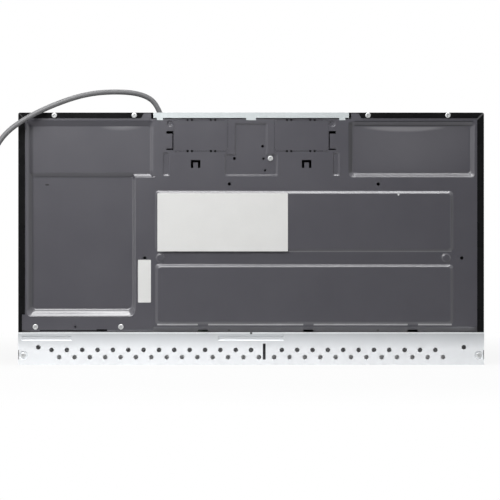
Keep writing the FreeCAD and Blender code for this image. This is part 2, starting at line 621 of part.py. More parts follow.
# Wall mounting plate: two rows of fixing holes, pressed ribs, seats for the end screws
# and a lip with three hooks
plate_form = new_body("mounting_plate_form")
block("plate_slab", (-HALF, HALF), (Y_WALL - BEYOND, Y_WALL), (0, S.plate_height), plate_form)
for left, right in ((S.plate_rib_end, HALF - 5), (-S.plate_rib_half, S.plate_rib_half)):
    rib = (left, right, S.plate_rib_low, S.plate_rib_high)
    frustum("plate_rib", plate_form, True, Y_WALL, Y_WALL - S.plate_rib_depth, rib,
            inset(rib, S.plate_rib_depth))
SEAT_DEPTH = Y_WALL - S.plate_gauge - REAR
for spot in SEATS:
    last = cone("end_seat", "y", (S.seat_radius - SEAT_DEPTH / 2, S.seat_radius + 0.5),
                (Y_WALL - SEAT_DEPTH, Y_WALL + 1), spot, plate_form, True)
plate = minus("plate_sheet", plate_form, moved("plate_inside", plate_form, S.plate_gauge))
LIP = (S.plate_height - S.plate_gauge, S.plate_height)
PLATE_FRONT = Y_WALL - S.plate_gauge
LIP_HALF = HALF - S.side_flange - S.seat_at_from_side
plate_parts = [plate, block("plate_lip", (-LIP_HALF, LIP_HALF),
                            (PLATE_FRONT - S.plate_lip, PLATE_FRONT + 0.5), LIP)]
for spot in HOOKS:
    plate_parts.append(block("plate_hook", about(spot, S.hook_width / 2 - S.hook_play),
                             (Y_BACK - S.hook_reach, PLATE_FRONT - S.plate_lip + 1), LIP))
WALL = (Y_WALL - 12, Y_WALL + 5)
fixings = [(S.hole_pitch * step, S.row_high) for step in range(-12, 14) if step != -1]
fixings += [(side * S.hole_pitch * (step + 0.5), S.row_low) for side in SIDES for step in range(13)]
fixings += [(side * S.corner_at, S.corner_level) for side in SIDES]
plate_holes = [rod("fixing_hole", "y", S.wall_hole, WALL, spot) for spot in fixings]
plate_holes += [rod("seat_hole", "y", SHANK_HOLE, WALL, spot) for spot in SEATS]
plate_holes.append(block("centre_slot", about(S.slot_at, S.slot_half), WALL, (S.slot_bottom, S.slot_top)))
for side in SIDES:
    plate_holes.append(block("end_notch", mirrored(side, HALF - S.end_notch, HALF + 5), WALL,
                             (S.end_notch_low, S.end_notch_high)))
node(minus("plate_punched", union("plate_bent", *plate_parts), grouped("plate_punches", *plate_holes)),
     "mounting_plate")

# Pan-head screws: four in the top flange, two over the foot, one in the T recess, two in the plate's seats
screws = []
heads = [(*spot, REAR) for spot in TOP_SCREWS] + [(*spot, Y_BACK) for spot in FOOT_SCREWS]
heads += [(*TEE_SCREW, Y_BACK - S.tee_depth)] + [(*spot, REAR + S.plate_gauge) for spot in SEATS]
for across, level, face in heads:
    dome = cone("screw_head", "y", (S.screw_head, S.screw_head * 0.62), (face, face + S.screw_dome - 0.4),
                (across, level))
    shank = rod("screw_shank", "y", S.screw_shank * 0.9, (face - S.screw_long, face + 0.5), (across, level))
    screws.append(union("screw", dome, shank))
node(grouped("screws", *screws), "case_screws")

# Vent tray let into the roof, with its rear tabs, the exhaust collar on it and the damper flap in the collar
TRAY_FLOOR = S.tray_level + S.gauge
OUTLET = (BLOWER_Y + S.scroll_radius - S.outlet_deep, BLOWER_Y + S.scroll_radius)
GLAND_Y = Y_BACK - S.gland_back
tray = new_body("vent_tray_body")
block("tray_outside", (-S.tray_half, S.tray_half), (Y_BACK - S.tray_deep, REAR),
      (S.tray_level, S.case_height), tray)
block("tray_inside", (-S.tray_half + S.gauge, S.tray_half - S.gauge),
      (Y_BACK - S.tray_deep + S.gauge, Y_BACK),
      (TRAY_FLOOR, S.case_height + OVER), tray, True)
for spot, wide in ((S.tab_at, S.tab_width), (-S.tab_at, S.tab_width), (sized(0), S.mid_tab_width)):
    block("tray_tab", about(spot, wide / 2), (Y_BACK, REAR), (S.tab_low, S.tray_level + 0.5), tray)
for side in SIDES:
    block("tray_outlet", mirrored(side, S.scroll_inner + S.scroll_wall, S.scroll_outer - S.scroll_wall),
          (OUTLET[0] + S.scroll_wall, OUTLET[1] - S.scroll_wall), (S.tray_level - OVER, TRAY_FLOOR + 2),
          tray, True)
GLAND_NECK = S.cord_radius + S.gland_room + S.gland_wall
rod("gland_hole", "z", GLAND_NECK + S.fit_gap, (S.tray_level - 2, TRAY_FLOOR + 2), (S.gland_at, GLAND_Y),
    tray, True)
node(tray, "vent_tray")
COLLAR_Y = (Y_BACK - S.collar_back - S.collar_deep, Y_BACK - S.collar_back)
COLLAR_TOP = S.case_height - 0.6
AXLE_Y = COLLAR_Y[1] - S.collar_wall - 3
AXLE_Z = (TRAY_FLOOR + COLLAR_TOP) / 2
collar = new_body("exhaust_collar_body")
block("collar_outside", (-S.collar_half, S.collar_half), COLLAR_Y, (TRAY_FLOOR, COLLAR_TOP), collar)
block("collar_inside", (-S.collar_half + S.collar_wall, S.collar_half - S.collar_wall),
      (COLLAR_Y[0] + S.collar_wall, COLLAR_Y[1] - S.collar_wall), (TRAY_FLOOR - OVER, COLLAR_TOP + OVER),
      collar, True)
rod("axle_hole", "x", S.damper_axle + S.axle_play, (-S.collar_half - OVER, S.collar_half + OVER),
    (AXLE_Y, AXLE_Z), collar, True)
node(collar, "exhaust_collar")
FLAP_HALF = S.collar_half - S.collar_wall - S.damper_gap
flap = new_body("damper_flap_body")
block("flap_plate", (-FLAP_HALF, FLAP_HALF), (COLLAR_Y[0] + S.collar_wall + S.damper_gap, AXLE_Y),
      (AXLE_Z - 0.6, AXLE_Z + 0.6), flap)
rod("flap_axle", "x", S.damper_axle, (-S.collar_half, S.collar_half), (AXLE_Y, AXLE_Z), flap)
node(flap, "damper_flap")

# Front frame: the flat plate round the oven's mouth, with a shelf on top for the charcoal filter
frame = new_body("front_frame_body")
block("frame_plate", (-INSIDE, INSIDE), (Y_FRONT, FRAME_BACK), (S.gauge, S.frame_top + S.frame_gauge),
      frame)
block("frame_shelf", (-INSIDE, INSIDE), (Y_FRONT, Y_FRONT + S.shelf_deep),
      (S.frame_top, S.frame_top + S.frame_gauge), frame)
CROSS = (Y_FRONT - OVER, FRAME_BACK + OVER)
block("oven_mouth", (S.cavity_left, S.cavity_right), CROSS, (S.cavity_floor, S.cavity_roof), frame, True)
block("control_window", (S.control_left + 8, INSIDE - 10), CROSS, (S.door_bottom + 25, S.door_top - 25),
      frame, True)
LATCH_SLOT = about(S.latch_at, S.latch_wide / 2 + S.latch_play)
HOOK_LEVELS = (S.hook_low, S.hook_high)


def latch_slots(name, body, depth):
    for level in HOOK_LEVELS:
        block(name, LATCH_SLOT, depth, (level - S.latch_barb - S.latch_play,
                                        level + S.latch_tall + S.latch_travel + S.latch_play), body, True)


latch_slots("frame_latch_slot", frame, CROSS)
node(frame, "front_frame")

# Oven cavity: a welded box open to the front, with the microwave port and the turntable's shaft hole
cavity = new_body("oven_cavity_body")
last = block("cavity_outside", (S.cavity_left - S.gauge, CAVITY_SIDE), (FRAME_BACK, CAVITY_BACK + S.gauge),
             (S.cavity_floor - S.gauge, CAVITY_TOP), cavity)


def rear_corner(edge):
    """Picks the cavity's two upright edges at the back."""
    return along("z")(edge) and edge.BoundBox.YMin > float(CAVITY_BACK)


last = rounded(cavity, "cavity_corners", last, S.cavity_corner, rear_corner)
shell = cavity.newObject("PartDesign::Thickness", "cavity_shell")
mouth = [f"Face{i}" for i, face in enumerate(last.Shape.Faces,
                                             1) if face.BoundBox.YMax < float(FRAME_BACK) + 0.01]
shell.Base = (last, mouth)
shell.Reversed = True
bind(shell, "Value", S.gauge)
cavity.Tip = shell
doc.recompute()
PORT_Y = (-S.port_deep / 2, S.port_deep / 2)
PORT_Z = about(S.port_level, S.port_high / 2)
block("cavity_port", (S.cavity_right - OVER, CAVITY_SIDE + OVER), PORT_Y, PORT_Z, cavity, True)
rod("cavity_shaft_hole", "z", S.table_shaft + 2, (S.cavity_floor - OVER, S.cavity_floor + OVER),
    (TABLE_X, TABLE_Y), cavity, True)
node(cavity, "oven_cavity")
node(block("port_sheet", (S.cavity_right - 1, S.cavity_right), (PORT_Y[0] - 8, PORT_Y[1] + 8),
           (PORT_Z[0] - 8, PORT_Z[1] + 8)), "waveguide_cover")

# Base pan with two filter pockets and the lamp window; each pocket's ledge stops its filter from above
PAN_BACK = Y_BACK - S.foot_depth - S.gauge - S.fit_gap
pan = new_body("base_pan_body")
block("pan_outside", (-INSIDE, INSIDE), (Y_FRONT, PAN_BACK), (0, S.pan_lip), pan)
block("pan_inside", (-INSIDE + S.gauge, INSIDE - S.gauge), (Y_FRONT - OVER, PAN_BACK - S.gauge),
      (S.gauge, S.pan_lip + OVER), pan, True)
FILTER_OUTER = HALF - S.filter_margin
FILTER_Y = (Y_FRONT + S.filter_from_front, Y_FRONT + S.filter_from_front + S.filter_deep)
block("pan_frame_room", (-HALF, HALF), (Y_FRONT - OVER, FRAME_BACK + S.fit_gap),
      (S.gauge, S.pan_lip + OVER), pan, True)
POCKET_Y = (FILTER_Y[0] - S.filter_play, FILTER_Y[1] + S.filter_play)
STOP = S.filter_thick + S.filter_stop
for side in SIDES:
    across = mirrored(side, S.filter_inner - S.filter_play, FILTER_OUTER + S.filter_play)
    block("pocket_box", (across[0] - S.gauge, across[1] + S.gauge),
          (POCKET_Y[0] - S.gauge, POCKET_Y[1] + S.gauge), (0, STOP + S.gauge), pan)
    block("pocket_mouth", across, POCKET_Y, (-5, STOP), pan, True)
    block("pocket_window", (across[0] + S.filter_ledge, across[1] - S.filter_ledge),
          (POCKET_Y[0] + S.filter_ledge, POCKET_Y[1] - S.filter_ledge), (STOP - 2, STOP + OVER), pan, True)
LENS_Y = (Y_FRONT + S.lens_from_front - S.lens_deep, Y_FRONT + S.lens_from_front)
block("lamp_window", (-S.lens_half - S.fit_gap, S.lens_half + S.fit_gap),
      (LENS_Y[0] - S.fit_gap, LENS_Y[1] + S.fit_gap), (-5, S.gauge + 2), pan, True)
node(pan, "base_pan")

# Grease filters: an aluminium frame round a thin mesh pad
for side, label in ((1, "right"), (-1, "left")):
    across = mirrored(side, S.filter_inner, FILTER_OUTER)
    pad_body = new_body(f"filter_{label}_body")
    block("filter_frame", across, FILTER_Y, (STOP - S.filter_thick, STOP), pad_body)
    for span in ((-OVER, S.filter_stop + S.filter_inset), (STOP - S.filter_inset, STOP + OVER)):
        block("filter_face", shrunk(across, S.filter_rim), shrunk(FILTER_Y, S.filter_rim), span, pad_body,
              True)
    node(pad_body, f"grease_filter_{label}")

# Cooktop lamp: a clear lens in the base pan under a bridge that holds two lamps
lens = new_body("lamp_lens_body")
block("lens_body", (-S.lens_half, S.lens_half), LENS_Y, (0.2, S.gauge + 1), lens)
block("lens_flange", (-S.lens_half - S.lens_flange, S.lens_half + S.lens_flange),
      (LENS_Y[0] - S.lens_flange, LENS_Y[1] + S.lens_flange), (S.gauge, S.gauge + 1.5), lens)
node(lens, "lamp_lens")
LAMP_Y = (LENS_Y[0] + LENS_Y[1]) / 2
BRIDGE = S.lens_half + S.lens_flange + 2
BRIDGE_TOP = S.gauge + S.lamp_bridge
bridge = new_body("lamp_holder_body")
block("bridge_outside", about(sized(0), BRIDGE + S.bridge_leg), about(LAMP_Y, S.bridge_half_deep),
      (S.gauge, BRIDGE_TOP), bridge)
block("bridge_inside", about(sized(0), BRIDGE), about(LAMP_Y, S.bridge_half_deep + OVER),
      (0, BRIDGE_TOP - S.bridge_thick),
      bridge, True)
for side in SIDES:
    spot = (side * S.lens_half / 2, LAMP_Y)
    rod("lamp_socket", "z", S.socket_radius, (BRIDGE_TOP - S.socket_tall - 2, BRIDGE_TOP - 2), spot, bridge)
    rod("lamp_bulb", "z", S.bulb_radius, (S.gauge + S.bulb_gap, BRIDGE_TOP - S.socket_tall), spot, bridge)
node(bridge, "cooktop_lamps")

# Blower: two scroll housings on one base plate, a motor between them and two wheels on its shaft
housing = []
hollow = []
for side in SIDES:
    outside = mirrored(side, S.scroll_inner, S.scroll_outer)
    inside = mirrored(side, S.scroll_inner + S.scroll_wall, S.scroll_outer - S.scroll_wall)
    centre = (BLOWER_Y, BLOWER_Z)
    housing.append(rod("scroll", "x", S.scroll_radius, outside, centre))
    housing.append(block("scroll_duct", outside, OUTLET, (BLOWER_Z, S.tray_level)))
    hollow.append(rod("scroll_hollow", "x", S.scroll_radius - S.scroll_wall, inside, centre))
    hollow.append(block("duct_hollow", inside, (OUTLET[0] + S.scroll_wall, OUTLET[1] - S.scroll_wall),
                        (BLOWER_Z, S.tray_level + 5)))
    hollow.append(rod("scroll_inlet", "x", S.inlet_radius, (outside[0] - 3, outside[1] + 3), centre))
BLOWER_BASE = CAVITY_TOP + S.scroll_wall
housing.append(block("blower_plate", (-S.scroll_outer, S.scroll_outer), about(BLOWER_Y, S.blower_foot),
                     (CAVITY_TOP, BLOWER_BASE)))
node(minus("blower_shells", union("blower_blank", *housing), *hollow), "blower_housing")
motor = new_body("blower_motor_body")
BORE = S.rotor_shaft + S.shaft_play
AT = (BLOWER_Y, BLOWER_Z)
rod("stator", "x", S.blower_motor_radius, about(sized(0), S.blower_motor_half - S.bell_long), AT, motor)
for side in SIDES:
    bell = mirrored(side, S.blower_motor_half - S.bell_long, S.blower_motor_half)
    radii = (S.blower_motor_radius, S.blower_motor_radius - S.bell_taper)
    cone("end_bell", "x", radii if side > 0 else radii[::-1], bell, AT, motor)
block("motor_foot", about(sized(0), S.motor_foot), about(BLOWER_Y, S.motor_foot_deep),
      (BLOWER_BASE, BLOWER_Z - S.motor_foot_deep), motor)
rod("motor_bore", "x", BORE, (-S.blower_motor_half - OVER, S.blower_motor_half + OVER), AT, motor, True)
node(motor, "blower_motor")
WHEEL_START = S.scroll_inner + S.scroll_wall + S.wheel_play
WHEEL_WIDE = S.scroll_outer - S.scroll_inner - 2 * S.scroll_wall - 2 * S.wheel_play
node(rod("rotor_rod", "x", S.rotor_shaft, (-WHEEL_START - 20, WHEEL_START + 20), AT), "blower_shaft")
for side, label in ((1, "right"), (-1, "left")):
    wheel = new_body(f"blower_wheel_{label}_body")
    centre = (sized(0), sized(0))
    rod("wheel_disc", "x", S.wheel_radius, (0, S.wheel_disc), centre, wheel)
    rod("wheel_boss", "x", S.rotor_shaft + S.wheel_boss, (0, S.boss_long), centre, wheel)
    vane = block("wheel_vane", (1, WHEEL_WIDE - 1), about(sized(0), S.vane_thick / 2),
                 (S.wheel_inner + S.vane_inset, S.wheel_radius - S.vane_inset), wheel)
    vane.Placement.Rotation = Rotation(Vector(1, 0, 0), float(S.vane_tilt))
    spin = next(one for one in wheel.Origin.OriginFeatures if one.Role == "X_Axis")
    around(wheel, "wheel_vanes", vane, 26, (spin, [""]))
    ring = sketch_on(wheel, "wheel_ring_outline", "YZ_Plane", WHEEL_WIDE - S.wheel_ring)
    circle(ring, 0, 0, S.wheel_radius)
    circle(ring, 0, 0, S.wheel_inner)
    pad(wheel, "wheel_ring", ring, S.wheel_ring)
    rod("wheel_bore", "x", S.rotor_shaft + 0.02, (-5, 20), centre, wheel, True)
    wheel.Placement = Placement(Vector(), Rotation(Vector(0, 0, 1), 0 if side > 0 else 180))
    locate(wheel, side * WHEEL_START, BLOWER_Y, BLOWER_Z)
    node(wheel, f"blower_wheel_{label}")

# Cooling fan of the magnetron: bulkhead with a ring, a motor on a strap behind it, five blades
FAN = (S.fan_across, S.fan_level)
bulkhead = new_body("fan_bulkhead_body")
block("bulkhead_sheet", (CAVITY_SIDE + S.fit_gap, INSIDE - S.gauge - S.fit_gap), (BULKHEAD, FAN_Y),
      (S.gauge, CAVITY_TOP), bulkhead)
rod("ring_outside", "y", S.fan_ring + S.ring_wall, (BULKHEAD, FAN_Y + S.ring_long), FAN, bulkhead)
rod("ring_inside", "y", S.fan_ring, (BULKHEAD - OVER, FAN_Y + S.ring_long + OVER), FAN, bulkhead, True)
node(bulkhead, "fan_bulkhead")
STRAP = FAN_Y + S.strap_back
STRAP_Z = about(S.fan_level, S.strap_half)
LEG_AT = S.fan_ring + S.strap_leg
fan_motor = new_body("fan_motor_body")
block("strap_bar", about(S.fan_across, LEG_AT + S.strap_leg / 2), (STRAP - S.strap_thick, STRAP), STRAP_Z,
      fan_motor)
for side in SIDES:
    block("strap_leg", about(S.fan_across + side * LEG_AT, S.strap_leg / 2), (FAN_Y, STRAP - 1), STRAP_Z,
          fan_motor)
block("fan_stator", about(S.fan_across, S.stator_half), (STRAP - S.stator_deep, STRAP - 1),
      about(S.fan_level, S.stator_tall), fan_motor)
rod("fan_bore", "y", S.fan_shaft + S.shaft_play, (STRAP - S.stator_deep - OVER, STRAP - 4), FAN, fan_motor,
    True)
node(fan_motor, "fan_motor")
fan = new_body("cooling_fan_body")
centre = (sized(0), sized(0))
rod("fan_hub", "y", S.fan_hub, (-S.fan_deep / 2, S.fan_deep / 2), centre, fan)
pitch = float(S.blade_pitch)
blade = block("fan_blade", (S.fan_hub - 2, S.fan_radius), about(sized(0), S.blade_half),
              about(sized(0), S.blade_thick / 2), fan)
blade.Placement.Rotation = Rotation(Vector(1, 0, 0), pitch)
bind(blade, "Placement.Base.y", -S.blade_half * math.cos(math.radians(pitch)))
bind(blade, "Placement.Base.z", -S.blade_half * math.sin(math.radians(pitch)))
spin = next(one for one in fan.Origin.OriginFeatures if one.Role == "Y_Axis")
around(fan, "fan_blades", blade, 6, (spin, [""]))
rod("fan_shaft", "y", S.fan_shaft, (0, S.fan_shaft_long), centre, fan)
locate(fan, S.fan_across, FAN_Y + S.fan_ahead, S.fan_level)
node(fan, "cooling_fan")

# Waveguide on the cavity's side and the magnetron on it
GUIDE_Y = (-S.guide_deep / 2, S.guide_deep / 2)
GUIDE_SIDE = CAVITY_SIDE + S.guide_wide
TUBE_Z = S.guide_top - S.antenna_drop
guide = new_body("waveguide_body")
block("guide_outside", (CAVITY_SIDE, GUIDE_SIDE), GUIDE_Y, (S.guide_bottom, S.guide_top), guide)
block("guide_inside", (CAVITY_SIDE - OVER, GUIDE_SIDE - S.guide_wall), shrunk(GUIDE_Y, S.guide_wall),
      shrunk((S.guide_bottom, S.guide_top), S.guide_wall), guide, True)
rod("antenna_hole", "x", S.antenna_radius + 1, (GUIDE_SIDE - OVER, GUIDE_SIDE + OVER), (sized(0), TUBE_Z),
    guide, True)
node(guide, "waveguide")
tube = new_body("magnetron_body")
TUBE_END = GUIDE_SIDE + S.magnetron_long
TUBE_BOX = TUBE_END - S.yoke_half
MIDDLE_Y = sized(0)
block("tube_plate", (GUIDE_SIDE, GUIDE_SIDE + 2), about(MIDDLE_Y, S.tube_plate),
      about(TUBE_Z, S.tube_plate_tall), tube)
block("tube_yoke", (GUIDE_SIDE + 1, TUBE_BOX), about(MIDDLE_Y, S.yoke_half), about(TUBE_Z, S.yoke_tall),
      tube)
block("tube_filter", (TUBE_BOX - 1, TUBE_END), about(MIDDLE_Y, S.tube_box), about(TUBE_Z, S.tube_box_tall),
      tube)
rod("tube_antenna", "x", S.antenna_radius, (GUIDE_SIDE - S.antenna_long, GUIDE_SIDE + 1),
    (MIDDLE_Y, TUBE_Z), tube)
for step in range(6):
    slot = GUIDE_SIDE + S.fin_pitch * (step + 1)
    for fins in ((TUBE_Z + S.fin_start, TUBE_Z + S.fin_end), (TUBE_Z - S.fin_end, TUBE_Z - S.fin_start)):
        block("tube_fin_gap", (slot, slot + S.fin_gap), about(MIDDLE_Y, S.yoke_half + OVER), fins, tube,
              True)
node(tube, "magnetron")

# High-voltage parts on the base pan and the lamp on the cavity's side
COIL_Y = BULKHEAD - S.coil_gap - S.winding_deep / 2
CORE_X = S.transformer_at
core = new_body("hv_transformer_body")
block("core_stack", about(CORE_X, S.core_half), about(COIL_Y, S.core_deep / 2),
      (S.gauge, S.gauge + S.core_tall), core)
block("winding", about(CORE_X, S.winding_half), about(COIL_Y, S.winding_deep / 2),
      (S.gauge + S.winding_low, S.gauge + S.winding_high), core)
block("core_feet", about(CORE_X, S.core_foot), about(COIL_Y, S.core_deep / 2),
      (S.gauge, S.gauge + S.core_foot_thick), core)
node(core, "hv_transformer")
CAN_X = (CAVITY_SIDE + CORE_X - S.core_foot) / 2
CAN_Y = COIL_Y + S.can_behind
CAN_TOP = S.gauge + S.can_tall
can = new_body("hv_capacitor_body")
last = block("can_blank", about(CAN_X, S.can_half), about(CAN_Y, S.can_deep / 2), (S.gauge, CAN_TOP), can)
last = rounded(can, "can_round", last, S.can_corner, along("z"))
for side in SIDES:
    block("can_tab", about(CAN_X + side * S.tab_spread, S.tab_half), about(CAN_Y, 0.5),
          (CAN_TOP - 1, CAN_TOP + S.tab_tall), can)
node(can, "hv_capacitor")
DIODE_X = CAN_X + S.diode_reach
DIODE_Y = COIL_Y + S.winding_deep / 2 - S.diode_thick * 0.75
diode = new_body("hv_diode_body")
block("diode_body", (DIODE_X, DIODE_X + S.diode_long), about(DIODE_Y, S.diode_thick / 2),
      (S.gauge, S.gauge + S.diode_thick), diode)
rod("diode_lug", "z", S.diode_lug, (S.gauge, S.gauge + 1), (DIODE_X - S.diode_lug + 1, DIODE_Y), diode)
node(diode, "hv_diode")
OVEN_LAMP_Y = BULKHEAD - S.oven_lamp_gap - S.oven_lamp_deep / 2
OVEN_LAMP_Z = S.cavity_roof - S.oven_lamp_drop - S.oven_lamp_tall / 2
LAMP_FACE = CAVITY_SIDE + S.oven_lamp_wide
lamp = new_body("cavity_lamp_body")
block("lamp_case", (CAVITY_SIDE, LAMP_FACE), about(OVEN_LAMP_Y, S.oven_lamp_deep / 2),
      about(OVEN_LAMP_Z, S.oven_lamp_tall / 2), lamp)
rod("lamp_base", "x", S.oven_lamp_neck, (LAMP_FACE - 1, LAMP_FACE + S.oven_lamp_stem),
    (OVEN_LAMP_Y, OVEN_LAMP_Z), lamp)
node(lamp, "cavity_lamp")

# Turntable: motor under the floor, coupler, three-wheeled roller ring and the glass tray
FLOOR = S.cavity_floor
ROLL_Z = FLOOR + S.roll_gap + S.roller_radius
GLASS = ROLL_Z + S.roller_radius + S.roll_gap
MIDDLE = (TABLE_X, TABLE_Y)
drive = new_body("turntable_motor_body")
rod("drive_case", "z", S.table_motor_radius, (FLOOR - S.gauge - S.table_motor_high, FLOOR - S.gauge),
    MIDDLE, drive)
for side in SIDES:
    ear = TABLE_X + side * (S.table_motor_radius + 3)
    block("drive_ear", (ear - 6, ear + 6), (TABLE_Y - 5, TABLE_Y + 5),
          (FLOOR - S.gauge - 1.5, FLOOR - S.gauge), drive)
rod("drive_bore", "z", S.table_shaft + S.shaft_play, (FLOOR - S.table_motor_high + 3, FLOOR + OVER), MIDDLE,
    drive, True)
node(drive, "turntable_motor")
hub = new_body("table_coupler_body")
rod("hub_shaft", "z", S.table_shaft, (FLOOR - S.table_motor_high + 4, FLOOR + 8), MIDDLE, hub)
rod("hub_foot", "z", S.hub_radius, (FLOOR + 1, GLASS - 0.2), MIDDLE, hub)
for step in range(3):
    angle = math.radians(120 * step)
    rod("hub_lobe", "z", 4, (FLOOR + 4, GLASS - 0.2),
        (TABLE_X + S.hub_radius * math.cos(angle), TABLE_Y + S.hub_radius * math.sin(angle)), hub)
node(hub, "table_coupler")
glass = new_body("glass_tray_body")
profile = sketch_on(glass, "tray_profile", "XZ_Plane")
rim = CAVITY_DEEP / 2 - S.table_room
polygon(profile, ((sized(0), sized(0)), (rim - 12, sized(0)), (rim, S.table_rim), (rim, S.table_rim + 2),
                  (rim - 3, S.table_rim + 2),
                  (rim - 14, S.glass_thick), (sized(0), S.glass_thick)))
turned = glass.newObject("PartDesign::Revolution", "tray_disc")
turned.Profile = profile
turned.ReferenceAxis = (profile, ["V_Axis"])
turned.Angle = 360
LUG_TRACK = S.hub_radius + S.lug_radius + S.fit_gap
for step in range(3):
    angle = math.radians(120 * step + 60)
    rod("tray_lug", "z", S.lug_radius, (-6, 1), (LUG_TRACK * math.cos(angle), LUG_TRACK * math.sin(angle)),
        glass)
locate(glass, TABLE_X, TABLE_Y, GLASS)
node(glass, "glass_tray")
ring_body = new_body("roller_ring_body")
outline = sketch_on(ring_body, "ring_outline", "XY_Plane", -3)
circle(outline, 0, 0, S.roller_ring_radius)
circle(outline, 0, 0, S.roller_ring_radius - 8)
pad(ring_body, "ring_band", outline, 6)
axle = rod("ring_axle", "x", S.roller_axle, (S.roller_ring_radius - 2,
                                             S.roller_track + S.roller_wide / 2 + 3), (0, 0), ring_body)
spin = next(one for one in ring_body.Origin.OriginFeatures if one.Role == "Z_Axis")
around(ring_body, "ring_axles", axle, 3, (spin, [""]))
locate(ring_body, TABLE_X, TABLE_Y, ROLL_Z)
node(ring_body, "roller_ring")
for step in range(3):
    angle = 120 * step
    roller = new_body(f"roller_{step + 1}_body")
    rod("roller_tyre", "x", S.roller_radius, (-S.roller_wide / 2, S.roller_wide / 2), (0, 0), roller)
    rod("roller_bore", "x", S.roller_axle + S.hinge_play, (-S.roller_wide, S.roller_wide), (0, 0), roller,
        True)
    roller.Placement = Placement(Vector(), Rotation(Vector(0, 0, 1), angle))
    locate(roller, TABLE_X + math.cos(math.radians(angle)) * S.roller_track,
           TABLE_Y + math.sin(math.radians(angle)) * S.roller_track, ROLL_Z)
    node(roller, f"roller_{step + 1}")

# Door: a hollow bezel with the outer pane, a steel pan with the screen behind it
# and the choke cover at the back
DOOR_LEFT = -HALF + 1
DOOR_X = (DOOR_LEFT, sized(S.door_right))
DOOR_Z = (S.door_bottom, sized(S.door_top))
HINGE_X = DOOR_LEFT + S.hinge_inset
HINGE_Y = Y_DOOR - S.hinge_back
PAN_WALL = Y_DOOR - S.choke_thick
PAN_SHEET = PAN_WALL - S.frame_gauge
WINDOW = ((S.window_left, S.window_right), (S.window_low, S.window_high))
PIN_HOLE = S.hinge_pin + S.hinge_play + S.bush_wall + S.fit_gap
bezel = new_body("door_bezel_body")
last = block("bezel_outside", DOOR_X, (Y_FACE, PAN_WALL), DOOR_Z, bezel)


def face_edge(edge):
    """Picks the edges round a front face."""
    return edge.BoundBox.YMax < float(Y_FACE) + 0.01


last = rounded(bezel, "bezel_edges", last, 2, face_edge)
GLASS_BACK = Y_FACE + S.pane_thick
block("bezel_inside", shrunk(DOOR_X, S.door_wall), (GLASS_BACK + 2.5, PAN_WALL + OVER),
      shrunk(DOOR_Z, S.door_wall), bezel, True)
PANE = (shrunk(WINDOW[0], -S.glass_margin), shrunk(WINDOW[1], -S.glass_margin))
block("pane_rebate", PANE[0], (Y_FACE - OVER, GLASS_BACK), PANE[1], bezel, True)
block("bezel_window", WINDOW[0], (Y_FACE - OVER, GLASS_BACK + 10), WINDOW[1], bezel, True)
rod("bezel_pin_hole", "z", PIN_HOLE, (S.door_bottom - OVER, S.door_top + OVER), (HINGE_X, HINGE_Y), bezel,
    True)
node(bezel, "door_bezel")
node(block("pane", shrunk(PANE[0], S.fit_gap), (Y_FACE, GLASS_BACK), shrunk(PANE[1], S.fit_gap)),
     "door_glass")
steel = new_body("door_pan_body")
STEEL_X = shrunk(DOOR_X, S.door_wall + S.fit_gap)
STEEL_Z = shrunk(DOOR_Z, S.door_wall + S.fit_gap)
STEEL_FRONT = Y_DOOR - S.hinge_back - 10
block("steel_outside", STEEL_X, (STEEL_FRONT, PAN_WALL), STEEL_Z, steel)
block("steel_inside", shrunk(STEEL_X, S.frame_gauge), (STEEL_FRONT - OVER, PAN_SHEET),
      shrunk(STEEL_Z, S.frame_gauge), steel, True)
SCREEN = (shrunk(WINDOW[0], -6), shrunk(WINDOW[1], -6))
block("steel_window", SCREEN[0], (PAN_SHEET - OVER, Y_DOOR), SCREEN[1], steel, True)
latch_slots("steel_latch_slot", steel, (PAN_SHEET - 5, Y_DOOR))
rod("steel_pin_hole", "z", S.hinge_pin + 1, (S.door_bottom - OVER, S.door_top + OVER), (HINGE_X, HINGE_Y),
    steel, True)
node(steel, "door_pan")
node(block("screen_sheet", shrunk(SCREEN[0], -5), (PAN_SHEET - 0.6, PAN_SHEET), shrunk(SCREEN[1], -5)),
     "door_screen")
choke = new_body("door_choke_body")
CHOKE = ((DOOR_LEFT + 16, S.door_right - 12), (S.door_bottom + 16, S.door_top - 16))
last = block("choke_plate", CHOKE[0], (PAN_WALL, Y_DOOR), CHOKE[1], choke)
last = rounded(choke, "choke_corners", last, 10, along("y"))
block("choke_window", SCREEN[0], (PAN_WALL - OVER, Y_DOOR + OVER), SCREEN[1], choke, True)
latch_slots("choke_latch_slot", choke, (PAN_WALL - 5, Y_DOOR + 5))
node(choke, "door_choke")

# Hinge: two brackets on the front frame with upright pins that turn in nylon bushes in the door
bushes = []
brackets = []
STEEL_INNER = shrunk(STEEL_Z, S.frame_gauge)
for side, level, edge in ((1, STEEL_INNER[1], S.door_top), (-1, STEEL_INNER[0], S.door_bottom)):
    bush_span = (level - S.pin_long, level) if side > 0 else (level, level + S.pin_long)
    axis = (HINGE_X, HINGE_Y)
    bushes.append(minus("bush", rod("bush_blank", "z", S.hinge_pin + S.hinge_play + S.bush_wall, bush_span,
                                    axis),
                        rod("bush_bore", "z", S.hinge_pin + S.hinge_play,
                            (bush_span[0] - 5, bush_span[1] + 5), axis)))
    near = edge + side * 0.5
    plate_span = (near, near + S.hinge_plate) if side > 0 else (near - S.hinge_plate, near)
    pin_span = (bush_span[0] + 1, near + 0.5) if side > 0 else (near - 0.5, bush_span[1] - 1)
    arm = block("hinge_arm", (HINGE_X - 9, HINGE_X + 26), (HINGE_Y - 9, Y_FRONT), plate_span)
    brackets.append(union("hinge_bracket", arm, rod("hinge_pin_rod", "z", S.hinge_pin, pin_span, axis)))
node(grouped("bushes", *bushes), "hinge_bushes")
node(grouped("brackets", *brackets), "hinge_brackets")

